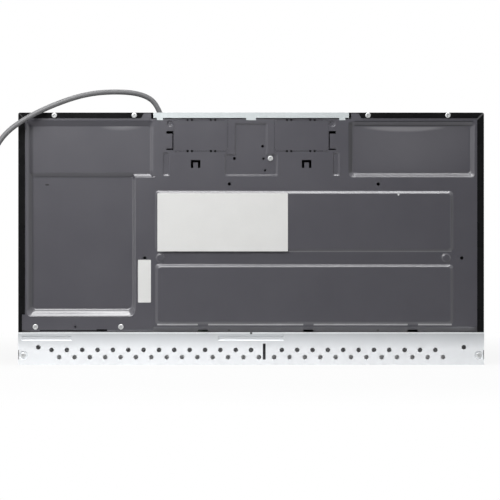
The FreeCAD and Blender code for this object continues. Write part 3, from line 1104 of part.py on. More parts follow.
# Handle: a rounded bar held off the door by two posts
HANDLE_X = about(S.handle_at, S.handle_wide / 2)
BAR_Y = (Y_FACE - S.handle_reach, Y_FACE - S.handle_reach + S.handle_thick)
grip = new_body("door_handle_body")
last = block("grip_bar", HANDLE_X, BAR_Y, (S.handle_low, S.handle_high), grip)


def outer_edge(edge):
    """Picks the edges round the grip's front."""
    return edge.BoundBox.YMax < float(BAR_Y[0]) + 0.01


last = rounded(grip, "grip_edges", last, 5, outer_edge)
node(grip, "door_handle")
posts = [rod("post", "y", S.post_radius, (BAR_Y[1], Y_FACE), (S.handle_at, level))
         for level in (S.handle_low + S.post_inset, S.handle_high - S.post_inset)]
node(grouped("posts", *posts), "handle_posts")

# Door latch: one sliding bar inside the door with two hooks that reach through the front frame
LATCH_X = about(S.latch_at, S.latch_wide / 2)
BAR_FRONT = PAN_SHEET - S.fit_gap - 5
HOOK_TIP = FRAME_BACK + S.latch_reach
latch = new_body("door_latch_body")
block("latch_bar", LATCH_X, (BAR_FRONT, PAN_SHEET - S.fit_gap),
      (S.hook_low - 12, S.hook_high + S.latch_tall + 8), latch)
for level in HOOK_LEVELS:
    block("latch_arm", LATCH_X, (BAR_FRONT, HOOK_TIP), (level, level + S.latch_tall), latch)
    block("latch_barb", LATCH_X, (HOOK_TIP - 8, HOOK_TIP), (level - S.latch_barb, level + 1), latch)
node(latch, "door_latch")

# Latch board behind the front frame with three interlock switches facing the hooks
BOARD_X = LATCH_SLOT[1] + 1
board = new_body("latch_board_body")
block("board_flange", (CAVITY_SIDE + 2, BOARD_X + 3), (FRAME_BACK, FRAME_BACK + 2),
      (S.hook_low - 22, S.hook_high + 42), board)
block("board_wall", (BOARD_X, BOARD_X + 3), (FRAME_BACK, FRAME_BACK + 46),
      (S.hook_low - 22, S.hook_high + 42), board)
latch_slots("board_slot", board, (FRAME_BACK - 5, FRAME_BACK + 5))
node(board, "latch_board")
switches = []
for level in (S.hook_low, S.hook_low + 24, S.hook_high):
    case = block("switch_case", (BOARD_X - 10, BOARD_X), (HOOK_TIP + 3, HOOK_TIP + 21),
                 (level - 4, level + 14))
    button = block("switch_button", (BOARD_X - 7, BOARD_X - 3), (HOOK_TIP + 1, HOOK_TIP + 4),
                   (level + 3, level + 7))
    switches.append(union("switch", case, button))
node(grouped("switches", *switches), "interlock_switches")

# Control panel: a hollow front with bosses for its circuit board, a keypad foil and a display window
CONTROL_X = (S.control_left, HALF - 1)
console = new_body("control_panel_body")
last = block("console_outside", CONTROL_X, (Y_FACE, Y_FRONT), DOOR_Z, console)
last = rounded(console, "console_edges", last, 2, face_edge)
block("console_inside", shrunk(CONTROL_X, S.control_wall), (Y_FACE + S.control_wall, Y_FRONT + OVER),
      shrunk(DOOR_Z, S.control_wall), console, True)
BOARD_Y = Y_FACE + S.board_back
PCB = (shrunk(CONTROL_X, 10), shrunk(DOOR_Z, 32))
for across in shrunk(PCB[0], 8):
    for level in shrunk(PCB[1], 8):
        rod("board_boss", "y", 4, (Y_FACE + S.control_wall - 1, BOARD_Y), (across, level), console)
DISPLAY_X = shrunk(CONTROL_X, S.keypad_margin)
block("display_rebate", DISPLAY_X, (Y_FACE - OVER, Y_FACE + 1.2), (S.display_low, S.display_high), console,
      True)
node(console, "control_panel")
node(block("foil", DISPLAY_X, (Y_FACE - S.keypad_thick, Y_FACE),
           (S.door_bottom + S.keypad_margin, S.keypad_top)), "keypad")
node(block("lens_plate", shrunk(DISPLAY_X, S.fit_gap), (Y_FACE - 0.2, Y_FACE + 1.2),
           shrunk((S.display_low, S.display_high), S.fit_gap)), "display_window")
card = new_body("control_board_body")
block("card_sheet", PCB[0], (BOARD_Y, BOARD_Y + 1.6), PCB[1], card)
for low, high, tall in ((14, 46, 20), (60, 84, 16), (100, 150, 9), (210, 250, 12)):
    block("card_part", (PCB[0][0] + 20, PCB[0][0] + 70), (BOARD_Y + 1, BOARD_Y + 1.6 + tall),
          (PCB[1][0] + low, PCB[1][0] + high), card)
node(card, "control_board")

# Vent grille across the top of the front with sloping slats, and the charcoal filter on the shelf behind it
GRILLE_X = (-HALF + 1, HALF - 1)
GRILLE_Z = (S.grille_bottom, sized(S.case_height))
grille = new_body("vent_grille_body")
last = block("grille_outside", GRILLE_X, (Y_FACE, Y_FRONT), GRILLE_Z, grille)
last = rounded(grille, "grille_edges", last, 2, face_edge)
block("grille_inside", shrunk(GRILLE_X, S.grille_wall), (Y_FACE + S.grille_wall, Y_FRONT + OVER),
      shrunk(GRILLE_Z, S.grille_wall), grille, True)
MOUTH = shrunk(GRILLE_Z, 6)
block("grille_mouth", shrunk(GRILLE_X, 14), (Y_FACE - OVER, Y_FACE + OVER), MOUTH, grille, True)
for step in range(5):
    slat = block("grille_slat", shrunk(GRILLE_X, 2), (Y_FACE + 1.2, Y_FACE + 1.2 + S.slat_deep),
                 (0, S.slat_thick), grille)
    bind(slat, "Placement.Base.z", MOUTH[0] + 1 + (MOUTH[1] - MOUTH[0]) * step / 5)
    slat.Placement.Rotation = Rotation(Vector(1, 0, 0), 24)
for step in range(-3, 4):
    block("grille_rib", (step * HALF / 4 - 1, step * HALF / 4 + 1), (Y_FACE + 3, Y_FACE + 12),
          shrunk(GRILLE_Z, 1), grille)
node(grille, "vent_grille")
CHARCOAL_Y = (Y_FRONT + 5, Y_FRONT + 5 + S.charcoal_thick)
CHARCOAL_Z = (S.frame_top + S.frame_gauge, ROOF - 5)
charcoal = new_body("charcoal_filter_body")
block("charcoal_frame", (-S.charcoal_half, S.charcoal_half), CHARCOAL_Y, CHARCOAL_Z, charcoal)
for depth in ((CHARCOAL_Y[0] - 5, CHARCOAL_Y[0] + 3), (CHARCOAL_Y[1] - 3, CHARCOAL_Y[1] + 5)):
    block("charcoal_face", (-S.charcoal_half + 6, S.charcoal_half - 6), depth, shrunk(CHARCOAL_Z, 5),
          charcoal, True)
node(charcoal, "charcoal_filter")

# Power cord: it leaves through a gland in the vent tray, arches over the rear corner and hangs to the ground
gland = new_body("cord_gland_body")
SPOT = (S.gland_at, GLAND_Y)
rod("gland_flange", "z", GLAND_NECK + 3, (TRAY_FLOOR, TRAY_FLOOR + 1.6), SPOT, gland)
rod("gland_sleeve", "z", GLAND_NECK, (TRAY_FLOOR + 1, S.gland_top), SPOT, gland)
rod("gland_tail", "z", GLAND_NECK, (S.tray_level - 18, TRAY_FLOOR + 1), SPOT, gland)
rod("gland_bore", "z", S.cord_radius + S.gland_room, (S.tray_level - 25, S.gland_top + OVER), SPOT, gland,
    True)
node(gland, "cord_gland")
HANG = float(HALF) + 50
OFF = float(Y_BACK)
TOP = float(S.case_height)
ROUTE = [
    (float(S.gland_at) - 2.2, float(GLAND_Y), TOP - 25), (149.8, OFF - 25.6, TOP + 11.6), (178, OFF - 22,
                                                                                           TOP + 33.2),
    (238.1, OFF - 8, TOP + 35.1), (290, OFF + 5, TOP + 25), (359.9, OFF + 17, TOP - 5.4), (405.9, OFF + 25,
                                                                                           TOP - 40),
    (HANG - 5.5, OFF + 29, 325), (HANG + 0.5, OFF + 30, 262), (HANG + 2.5, OFF + 29, 200), (HANG + 3.5,
                                                                                            OFF + 27, 138),
    (HANG + 4.5, OFF + 25, 78.6), (HANG + 5.5, OFF + 11, 45.3), (HANG + 7, OFF - 14.5, 19.8), (HANG + 9,
                                                                                               OFF - 48,
                                                                                               6.5),
    (HANG + 11.5, OFF - 87, 5.0), (HANG + 15.5, OFF - 125, 6), (HANG + 19, OFF - 155, 10.5), (HANG + 20.5,
                                                                                              OFF - 177,
                                                                                              13),
]


def tube_along(points, radius):
    """A round tube along straight runs joined by tangent arcs."""
    spots = [Vector(*point) for point in points]
    edges = []
    start = spots[0]
    for before, corner, after in zip(spots, spots[1:], spots[2:]):
        back, ahead = before - corner, after - corner
        reach = 0.45 * min(back.Length, ahead.Length)
        back.normalize()
        ahead.normalize()
        turn = math.pi - back.getAngle(ahead)
        bend = reach / math.tan(turn / 2)
        enter, leave = corner + back * reach, corner + ahead * reach
        middle = corner + (back + ahead).normalize() * (bend / math.cos(turn / 2) - bend)
        edges += [Part.LineSegment(start, enter).toShape(), Part.Arc(enter, middle, leave).toShape()]
        start = leave
    edges.append(Part.LineSegment(start, spots[-1]).toShape())
    path = Part.Wire(edges)
    ring = Part.Wire(Part.Circle(spots[0], spots[1] - spots[0], radius).toShape())
    return path.makePipeShell([ring], True, True)


cord = doc.addObject("Part::Feature", "cord_tube")
cord.Shape = tube_along(ROUTE, float(S.cord_radius))
node(cord, "power_cord")
END = Vector(*ROUTE[-1])
plug = new_body("power_plug_body")
rod("plug_neck", "y", S.cord_radius + 2, (-22, 0), (0, 0), plug)
last = block("plug_grip", (-14, 14), (-50, -20), (-13, 13), plug)
last = rounded(plug, "plug_grip_edges", last, 5, lambda edge: edge.BoundBox.YLength > 20)
for side in SIDES:
    block("plug_blade", (side * 6.35 - 0.75, side * 6.35 + 0.75), (-67, -49), (-1.2, 5.2), plug)
rod("plug_earth", "y", 2.4, (-70, -49), (0, -7.5), plug)
plug.Placement = Placement(END, Rotation())
node(plug, "power_plug")

doc.recompute()
for thing in doc.Objects:
    if "Invalid" in thing.State or "Error" in thing.State:
        raise RuntimeError(f"{thing.Name} did not build")
os.makedirs("parts", exist_ok=True)
for thing in NODES:
    if thing.Shape.isNull() or not thing.Shape.isValid():
        raise RuntimeError(f"{thing.Label} has no valid shape")
    thing.Shape.exportStep(f"parts/{thing.Label}.step")
print(len(NODES), "pieces")
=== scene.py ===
import math
import bpy
import mathutils
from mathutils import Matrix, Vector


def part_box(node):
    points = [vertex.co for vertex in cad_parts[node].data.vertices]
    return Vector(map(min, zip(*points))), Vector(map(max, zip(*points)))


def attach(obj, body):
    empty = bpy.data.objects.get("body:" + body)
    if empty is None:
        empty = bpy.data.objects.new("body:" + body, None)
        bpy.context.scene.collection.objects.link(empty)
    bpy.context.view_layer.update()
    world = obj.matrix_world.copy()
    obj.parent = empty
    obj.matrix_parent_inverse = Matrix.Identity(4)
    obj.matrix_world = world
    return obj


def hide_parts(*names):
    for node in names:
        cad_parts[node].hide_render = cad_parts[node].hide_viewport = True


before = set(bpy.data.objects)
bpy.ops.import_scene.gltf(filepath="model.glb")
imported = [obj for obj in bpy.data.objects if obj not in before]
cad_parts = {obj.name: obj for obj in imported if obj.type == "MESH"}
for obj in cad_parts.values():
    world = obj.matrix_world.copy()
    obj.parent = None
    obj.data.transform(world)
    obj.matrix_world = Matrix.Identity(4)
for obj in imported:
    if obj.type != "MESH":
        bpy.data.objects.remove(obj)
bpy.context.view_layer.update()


# Oven cavity, front frame and door pan: the cooking space, drawn and welded from steel sheet.
# All three carry one pale grey enamel with fine dark flecks, fired on after the welding.
class Shade:
    """One socket of a finish, used in formulas like a number."""

    def __init__(self, tree, socket=None):
        self.tree = tree
        self.socket = socket

    def node(self, kind, settings=None, sockets=None, out=0):
        """Adds a node with its settings and inputs, and gives one of its outputs."""
        made = self.tree.nodes.new("ShaderNode" + kind)
        for name, value in (settings or {}).items():
            setattr(made, name, value)
        for name, value in (sockets or {}).items():
            if isinstance(value, Shade):
                self.tree.links.new(value.socket, made.inputs[name])
            else:
                made.inputs[name].default_value = value
        return Shade(self.tree, made.outputs[out] if made.outputs else None)

    def worked(self, operation, first, second=0.0):
        """The result of one sum."""
        return self.node("Math", {"operation": operation}, {0: first, 1: second})

    def __add__(self, other):
        return self.worked("ADD", self, other)

    def __sub__(self, other):
        return self.worked("SUBTRACT", self, other)

    def __rsub__(self, other):
        return self.worked("SUBTRACT", other, self)

    def __mul__(self, other):
        return self.worked("MULTIPLY", self, other)

    def __gt__(self, other):
        return self.worked("GREATER_THAN", self, other)

    def __lt__(self, other):
        return self.worked("LESS_THAN", self, other)

    __radd__ = __add__
    __rmul__ = __mul__


def new_finish(name):
    """An empty finish and the point that its formulas start from."""
    finish = bpy.data.materials.new(name)
    finish.use_nodes = True
    finish.node_tree.nodes.clear()
    return finish, Shade(finish.node_tree)


def close_finish(start, sockets):
    """Ends a finish in its surface."""
    skin = start.node("BsdfPrincipled", {}, sockets)
    start.node("OutputMaterial", {}, {"Surface": skin})


def grain(start, scale, detail=2.0, stretch=None):
    """A cloud pattern fixed to the piece, finer with a higher scale, or with more stretch along one axis."""
    spot = start.node("TexCoord", out="Object")
    if stretch:
        spot = start.node("Mapping", {}, {"Vector": spot, "Scale": stretch})
    return start.node("TexNoise", {}, {"Vector": spot, "Scale": scale, "Detail": detail})


def cells(start, scale, out="Distance", randomness=1.0):
    """A pattern of small cells fixed to the piece, in even rows where randomness is nought."""
    spot = start.node("TexCoord", out="Object")
    return start.node("TexVoronoi", {}, {"Vector": spot, "Scale": scale, "Randomness": randomness}, out)


def mixed(start, share, dark, pale):
    """A colour between two others."""
    return start.node("Mix", {"data_type": "RGBA"}, {0: share, 6: dark, 7: pale}, 2)


def bumped(start, height, strength, depth):
    """The tilt of a skin that stands as high as a pattern says, up to a depth."""
    return start.node("Bump", {}, {"Height": height, "Strength": strength, "Distance": depth})


def dress(finish, *names):
    """Gives CAD pieces their finish."""
    for name in names:
        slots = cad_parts[name].data.materials
        slots.clear()
        slots.append(finish)


FLECK_SIZE = 0.14
FLECK_GREY = (0.2, 0.2, 0.2, 1)
enamel, start = new_finish("cavity_enamel")
fleck = cells(start, scale=420) < FLECK_SIZE
clouds = grain(start, scale=30, detail=3)
ground = mixed(start, clouds, (0.46, 0.46, 0.44, 1), (0.52, 0.52, 0.5, 1))
close_finish(start, {
    "Base Color": mixed(start, fleck, ground, FLECK_GREY),
    "Roughness": 0.3 + 0.1 * clouds,
    "Normal": bumped(start, grain(start, scale=700, detail=1), strength=0.06, depth=0.0005),
})
dress(enamel, "oven_cavity", "front_frame", "door_pan")


# Waveguide cover: a sheet of pressed mica, brownish with silvery scales.
# It is punched to size and clipped over the wave port in the cavity's side wall.
mica, start = new_finish("mica_sheet")
scales = start.node("SeparateColor", {}, {"Color": cells(start, scale=260, out="Color")})
close_finish(start, {
    "Base Color": mixed(start, scales, (0.4, 0.32, 0.22, 1), (0.58, 0.5, 0.38, 1)),
    "Roughness": 0.35 + 0.2 * scales,
})
dress(mica, "waveguide_cover")


# Motors and transformer: cores stacked from punched iron sheets, so that fine layers show.
# The blower's steel shaft has the same finish. Feet, straps and plates hold them in place.
motor_iron, start = new_finish("laminated_iron")
layers = start.node("TexWave", {"wave_type": "BANDS", "bands_direction": "Z"},
                    {"Vector": start.node("TexCoord", out="Object"), "Scale": 300, "Distortion": 0.4})
close_finish(start, {
    "Base Color": mixed(start, layers, (0.2, 0.2, 0.21, 1), (0.4, 0.4, 0.41, 1)),
    "Metallic": 0.8,
    "Roughness": 0.4 + 0.15 * layers,
})
dress(motor_iron, "blower_motor", "blower_shaft", "fan_motor", "hv_transformer", "turntable_motor")


# Magnetron and capacitor: closed cans drawn from steel and plated bright.
# Polishing leaves fine level lines round them, and the cans are held by their flanges.
tank_plate, start = new_finish("plated_tank")
brushed = grain(start, scale=60, detail=3, stretch=(1, 1, 14))
close_finish(start, {
    "Base Color": mixed(start, brushed, (0.58, 0.59, 0.6, 1), (0.74, 0.75, 0.76, 1)),
    "Metallic": 0.9,
    "Roughness": 0.28 + 0.2 * brushed,
})
dress(tank_plate, "magnetron", "hv_capacitor")


# Wheels, rollers, lamp holders, latch and bushes: parts that turn, slide or stand near heat.
# They are moulded in white heat-proof plastic with a slightly orange-peeled skin, and clipped or pressed in.
carrier_white, start = new_finish("white_moulding")
moulded = grain(start, scale=500, detail=2)
close_finish(start, {
    "Base Color": mixed(start, moulded, (0.66, 0.66, 0.63, 1), (0.74, 0.74, 0.71, 1)),
    "Roughness": 0.45 + 0.15 * moulded,
    "Normal": bumped(start, moulded, strength=0.05, depth=0.0003),
})
dress(carrier_white, "blower_wheel_left", "blower_wheel_right", "cooling_fan", "cavity_lamp", "cooktop_lamps",
      "table_coupler", "roller_ring", "roller_1", "roller_2", "roller_3", "hinge_bushes", "door_latch",
      "latch_board")


# Front mouldings, blower housing, switches, diode and cord gland: black plastic from polished moulds.
# The front ones snap on to the frame and the door, and the others are screwed or clipped inside.
dark_moulding, start = new_finish("black_moulding")
moulded = grain(start, scale=420, detail=2)
close_finish(start, {
    "Base Color": mixed(start, moulded, (0.009, 0.009, 0.01, 1), (0.015, 0.015, 0.016, 1)),
    "Roughness": 0.26 + 0.14 * moulded,
    "Normal": bumped(start, moulded, strength=0.04, depth=0.0003),
})
dress(dark_moulding, "hv_diode", "interlock_switches", "door_bezel", "door_choke", "control_panel",
      "vent_grille", "cord_gland", "blower_housing")


# Control board: a glass-fibre board with green lacquer over its copper tracks.
# It is etched, drilled and screwed to the back of the control panel.
board_green, start = new_finish("solder_mask")
tracks = start.node("TexBrick", {}, {"Vector": start.node("TexCoord", out="Object"), "Scale": 90,
                                     "Mortar Size": 0.06}, "Fac")
close_finish(start, {
    "Base Color": mixed(start, tracks, (0.012, 0.12, 0.045, 1), (0.03, 0.2, 0.08, 1)),
    "Roughness": 0.3 + 0.1 * tracks,
})
dress(board_green, "control_board")


# Charcoal filter: a flat bed of carbon granules, which cleans the air that goes back into the room.
# The lumps are bonded to one pad, and it is laid in behind the vent grille.
charcoal, start = new_finish("charcoal_granules")
lumps = cells(start, scale=380)
close_finish(start, {
    "Base Color": mixed(start, lumps, (0.04, 0.04, 0.04, 1), (0.012, 0.012, 0.012, 1)),
    "Roughness": 0.7 + 0.1 * lumps,
    "Normal": bumped(start, lumps, strength=0.6, depth=0.002),
})
dress(charcoal, "charcoal_filter")


# Back panel and base pan: large pressings of steel sheet, the panel with raised fields and sunk pockets.
# Both are powder coated in a satin dark grey. Its colour also holds painted highlights and reflections on rims,
# walls and floors of the pressings, painted light behind the wall plate, and painted shade on walls, in slots
# and in the gap under the bay. Screws hold the panel to the wrapper's flanges.
def axes(start):
    """The three coordinates on the piece."""
    spot = start.node("TexCoord", out="Object")
    return [start.node("SeparateXYZ", {}, {"Vector": spot}, axis) for axis in "XYZ"]


def band(value, low, high):
    """One within a span and nought outside it."""
    return (value > low) * (value < high)


def patch(across, level, centre, reach):
    """An oval spot that fades from one in its middle to nought at its rim."""
    aside = (across - centre[0]) * (1 / reach[0])
    above = (level - centre[1]) * (1 / reach[1])
    return across.worked("MAXIMUM", 1 - (aside * aside + above * above), 0.0)


def spread(value, low, high, fade):
    """One within a span, fading to nought towards both its ends."""
    inward = (high - low) / 2 - value.worked("ABSOLUTE", value - (low + high) / 2)
    return value.node("MapRange", {}, {"Value": inward, "From Max": fade})


def oblong(across, level, wide, tall, fades):
    """An oblong of the sheet that fades out towards its sides and its ends."""
    return spread(across, *wide, fades[0]) * spread(level, *tall, fades[1])


def rolled(level, low, high):
    """One wave over a drawn wall between two levels."""
    share = level.node("MapRange", {}, {"Value": level, "From Min": low, "From Max": high})
    return level.worked("SINE", -2 * math.pi * share)


COAT_DARK, COAT_PALE = (0.067, 0.0655, 0.077, 1), (0.079, 0.0772, 0.0895, 1)
# colours of the painted highlights and of the painted shade on the pressings' walls and floors
COAT_PAINTED_HIGHLIGHT, COAT_PAINTED_SHADE = (0.2, 0.198, 0.21, 1), (0.034, 0.033, 0.04, 1)
# colour of the painted highlight along the fields' rims; white of a small dot and of the painted light behind the
# wall plate
COAT_RIM_HIGHLIGHT, WHITE_DOT_AND_LIT_GREY = (0.42, 0.42, 0.43, 1), (0.8, 0.8, 0.8, 1)
# black of the painted shade in slots and of the painted shadow in the gap under the bay
SLOT_AND_GAP_SHADE = (0.006, 0.006, 0.007, 1)
FIELDS_WIDE = (-0.327, 0.153)
# levels of the fields' rims, where a painted highlight runs
LOWER_FIELD_RIM, UPPER_FIELD_RIM = (0.0642, 0.0668), (0.1836, 0.1858)
HOOKS_WIDE = ((0.07, 0.087), (-0.102, -0.085), (-0.272, -0.255))
BAY_HEAD, POCKET_HEAD = 0.3888, 0.388
# painted highlights under the heads of bay and pocket, and a painted sheen on the pocket's floor
BAY_GLEAM = ((0.212, 0.389), (0.036, 0.0078))
POCKET_GLEAM = ((-0.25, 0.3885), (0.07, 0.009))
POCKET_FLOOR = ((-0.3575, -0.1655), (0.3125, 0.3895), (0.004, 0.003))
POCKET_SHEEN = ((-0.262, 0.39), (0.13, 0.11))
# small marks drawn in the coat alone, the painted shade of a slit in the bay and of slots in the foot, and a
# small white dot: middle and reach of an oval, or spans
BAY_SLIT = ((0.333, 0.2935), (0.0034, 0.0013))
WHITE_DOT = ((-0.24, 0.277), (0.0014, 0.0014))
FOOT_SLOTS_WIDE, FOOT_SLOTS_TALL = ((0.0338, 0.0382), (-0.2092, -0.2048)), (0.0548, 0.0572)
# the painted shadow in the gap under the bay and the painted shade of the wider slot at its end: span across,
# span of levels
GAP_SHADOW = (((0.252, 0.3445), (0.0551, 0.0567)), ((0.2346, 0.252), (0.0545, 0.0578)))
# the bay's inner sides, with a painted highlight: share, span across, span of levels, fades
HIGHLIT_WALLS = ((0.45, (0.1882, 0.1942), (0.086, 0.305), (0.001, 0.004)),
              (0.28, (0.1592, 0.1655), (0.314, 0.39), (0.001, 0.004)))
# painted shade on the bay's step and outer side, the pocket's side and the two bends of its head
SHADED_WALLS = ((0.5, (0.19, 0.356), (0.303, 0.3118), (0.004, 0.003)),
              (0.95, (0.3545, 0.3645), (0.085, 0.394), (0.003, 0.008)),
              (1.0, (-0.1662, -0.1578), (0.312, 0.3965), (0.0015, 0.003)),
              (0.9, (-0.3635, -0.167), (0.3952, 0.3984), (0.003, 0.001)),
              (0.9, (-0.3635, -0.167), (0.3888, 0.3918), (0.003, 0.001)))
# the feet of bay, jog, pocket and T: height of the roll in millimetres, span across, its fade, span of levels
ROLLED_WALLS = ((-0.36, (0.192, 0.362), 0.01, (0.077, 0.0904)),
                (-0.5, (0.156, 0.196), 0.003, (0.3042, 0.3082)),
                (0.5, (-0.364, -0.162), 0.01, (0.3058, 0.3125)),
                (0.7, (-0.0435, 0.0435), 0.002, (0.3075, 0.3105)))
SMOOTH_WALL = ((0.19, 0.364), (0.0772, 0.0926), (0.004, 0.003))
# painted light on the levels behind the wall plate's two rows of holes: share, span of levels
LIT_ROWS = ((1.0, (0.004, 0.019)), (0.55, (0.019, 0.032)))
REAR_FROM, PLATE_GAP_WIDE = 0.19, (-0.026, -0.014)
MILLIMETRE = 0.001

grey_coat, start = new_finish("grey_powder_coat")
clouds = grain(start, scale=26, detail=3)
peel = grain(start, scale=1100, detail=1)
waves = grain(start, scale=9, detail=0)
# a cloud that breaks up the painted highlight along the rims
rim_breakup = 0.6 + 0.4 * grain(start, scale=60, detail=3)
across, depth, level = axes(start)
hooks = sum(band(across, *wide) for wide in HOOKS_WIDE)
# painted highlight along the lower field's rim, left out at the hooks, and fainter along the upper field's rim
rims = band(level, *LOWER_FIELD_RIM) * (1 - hooks) + 0.3 * band(level, *UPPER_FIELD_RIM)
rim_highlight = rims * band(across, *FIELDS_WIDE) * rim_breakup
# the painted highlights under the heads of bay and pocket, and the pocket's painted sheen
bay_gleam = 0.55 * patch(across, level, *BAY_GLEAM) * (level < BAY_HEAD)
lens = start.node("MapRange", {}, {"Value": patch(across, level, *POCKET_GLEAM), "From Max": 0.5})
pocket_gleam = 0.62 * lens * (level < POCKET_HEAD)
pocket_sheen = 0.2 * oblong(across, level, *POCKET_FLOOR) * patch(across, level, *POCKET_SHEEN)
# painted highlight on the bay's inner sides
highlit_walls = sum(share * oblong(across, level, *place) for share, *place in HIGHLIT_WALLS)
# painted shade on the bay's step and outer side and on the pocket's side and head
shaded_walls = sum(share * oblong(across, level, *place) for share, *place in SHADED_WALLS)
# painted shade of the slit in the bay and of the slots in the foot, and painted shadow in the gap under the bay
slots = (patch(across, level, *BAY_SLIT) > 0.0) + (
    band(level, *FOOT_SLOTS_TALL) * sum(band(across, *wide) for wide in FOOT_SLOTS_WIDE))
gap_shadow = sum(band(across, *wide) * band(level, *tall) for wide, tall in GAP_SHADOW)
# a small white dot
white_dot = patch(across, level, *WHITE_DOT) > 0.0
# painted light on the panel behind the wall plate's holes, left out at the plate's gap
lit_behind_plate = sum(share * band(level, *tall) for share, tall in LIT_ROWS) * (
    (depth > REAR_FROM) * (1 - band(across, *PLATE_GAP_WIDE)))
rolls = sum(roll * spread(across, *wide, fade) * rolled(level, *tall) for roll, wide, fade, tall in ROLLED_WALLS)
coat = mixed(start, clouds, COAT_DARK, COAT_PALE)
# the painted highlights go into the coat's colour here
gleaming = mixed(start, bay_gleam + pocket_gleam + pocket_sheen + highlit_walls, coat, COAT_PAINTED_HIGHLIGHT)
# the painted shade goes into the coat's colour here
shaded = mixed(start, shaded_walls, gleaming, COAT_PAINTED_SHADE)
# the painted rim highlight goes into the coat's colour here
toned = mixed(start, rim_highlight, shaded, COAT_RIM_HIGHLIGHT)
# the painted light behind the wall plate and the small white dot go into the coat's colour here
dotted_and_lit = mixed(start, white_dot + lit_behind_plate, toned, WHITE_DOT_AND_LIT_GREY)
close_finish(start, {
    # painted shade in slots and painted shadow in the gap, black over all else
    "Base Color": mixed(start, slots + gap_shadow, dotted_and_lit, SLOT_AND_GAP_SHADE),
    "Metallic": gap_shadow,
    "Roughness": 0.265 + 0.07 * grain(start, scale=16, detail=1) - 0.12 * oblong(across, level, *SMOOTH_WALL),
    "Specular IOR Level": 0.9,
    "Normal": start.node("Bump", {}, {
        "Height": rolls, "Distance": MILLIMETRE,
        "Normal": bumped(start, 0.02 * peel + waves, strength=0.2, depth=0.0012)}),
})
dress(grey_coat, "back_panel", "base_pan")


# Outer wrapper and its weld nuts: roof and sides folded from one steel sheet, coated in gloss black.
# Its colour is paler along the mitres where the roof's flange meets the side flanges, more widely at one of them.
GLOSS_BLACK, GLOSS_HAZE = (0.006, 0.006, 0.0065, 1), (0.01, 0.01, 0.0105, 1)
MITRE_GREY = (0.09, 0.09, 0.092, 1)
MITRE_HALF, MITRE_MORE, MITRE_TALL, FLANGE_FROM = 0.0007, 0.0011, 0.0125, 0.2
outer_black, start = new_finish("black_gloss_coat")
haze = grain(start, scale=40, detail=3)
peel = grain(start, scale=900, detail=1)
across, depth, level = axes(start)
wrapper_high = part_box("outer_wrapper")[1]
mitre = start.worked("ABSOLUTE", across) - level + (wrapper_high.z - wrapper_high.x)
near_mitre = start.worked("ABSOLUTE", mitre) < MITRE_HALF + MITRE_MORE * (across < 0.0)
mitre_line = near_mitre * (level > wrapper_high.z - MITRE_TALL) * (depth > FLANGE_FROM)
close_finish(start, {
    "Base Color": mixed(start, 0.8 * mitre_line, mixed(start, haze, GLOSS_BLACK, GLOSS_HAZE), MITRE_GREY),
    "Roughness": 0.22 + 0.12 * haze,
    "Specular IOR Level": 0.08,
    "Normal": bumped(start, peel, strength=0.015, depth=0.0003),
})
dress(outer_black, "outer_wrapper", "weld_nuts")


# Wall plate, vent tray and the zinc parts inside: hot-dip galvanised sheet, punched and bent, with its flakes.
# The plate's colour also holds a darker zone towards the upper bend, a painted highlight along the bend itself,
# which the darker zone leaves out, and the painted shade of a notch in the middle of that bend.
# Hooks on the plate's lip go into slots in the back panel.
plate_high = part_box("mounting_plate")[1]
DARKER_FROM, DARKER_TO, DARKER_ZINC = 0.026, 0.05, (0.5, 0.52, 0.54, 1)
BEND_BELOW, BEND_ABOVE = 0.0016, 0.001
NOTCH_HALF, NOTCH_TALL, NOTCH_SHADE = 0.0018, 0.003, (0.02, 0.02, 0.02, 1)


def zinc_finish(name, dark, pale, plate_marks):
    """Galvanised sheet between two shades; its last argument scales the plate's darker zone and painted notch
    shade.
    """
    finish, start = new_finish(name)
    flake = start.node("SeparateColor", {}, {"Color": cells(start, scale=130, out="Color")})
    clouds = grain(start, scale=22, detail=4)
    streaks = grain(start, scale=40, detail=3, stretch=(0.15, 1, 1))
    across, _, level = axes(start)
    shade = 0.16 * flake + 0.5 * clouds + 0.34 * streaks
    # darker towards the upper bend
    toned = plate_marks * start.node("MapRange", {}, {"Value": level, "From Min": DARKER_FROM, "From Max": DARKER_TO})
    # painted highlight along the bend: the darker zone stops there
    bend_highlight = band(level, plate_high.z - BEND_BELOW, plate_high.z + BEND_ABOVE)
    sheet = mixed(start, toned * (1 - bend_highlight), mixed(start, shade, dark, pale), DARKER_ZINC)
    # painted shade of a notch in the middle of the bend
    notch_shade = plate_marks * band(across, -NOTCH_HALF, NOTCH_HALF) * (level > plate_high.z - NOTCH_TALL)
    close_finish(start, {
        "Base Color": mixed(start, notch_shade, sheet, NOTCH_SHADE),
        "Metallic": 0.25,
        "Roughness": 0.34 + 0.14 * shade,
        "Normal": bumped(start, grain(start, scale=300, detail=2), strength=0.05, depth=0.0006),
    })
    return finish


plate_zinc = zinc_finish("plate_zinc", (0.82, 0.84, 0.86, 1), (0.9, 0.92, 0.94, 1), plate_marks=0.9)
tray_zinc = zinc_finish("tray_zinc", (0.5, 0.54, 0.55, 1), (0.6, 0.64, 0.65, 1), plate_marks=0.0)
dress(plate_zinc, "mounting_plate")
dress(tray_zinc, "vent_tray", "exhaust_collar", "damper_flap", "fan_bulkhead", "waveguide", "hinge_brackets")


# Case screws: zinc-plated pan heads with a cross recess, cold formed from wire.
# Four hold the roof's flange, two stand over the panel's foot, one in its T recess, and two hold the wall plate.
def select_only(*pieces):
    """Leaves just these pieces selected, the first of them active."""
    bpy.ops.object.select_all(action="DESELECT")
    for piece in pieces:
        piece.select_set(True)
    bpy.context.view_layer.objects.active = pieces[0]


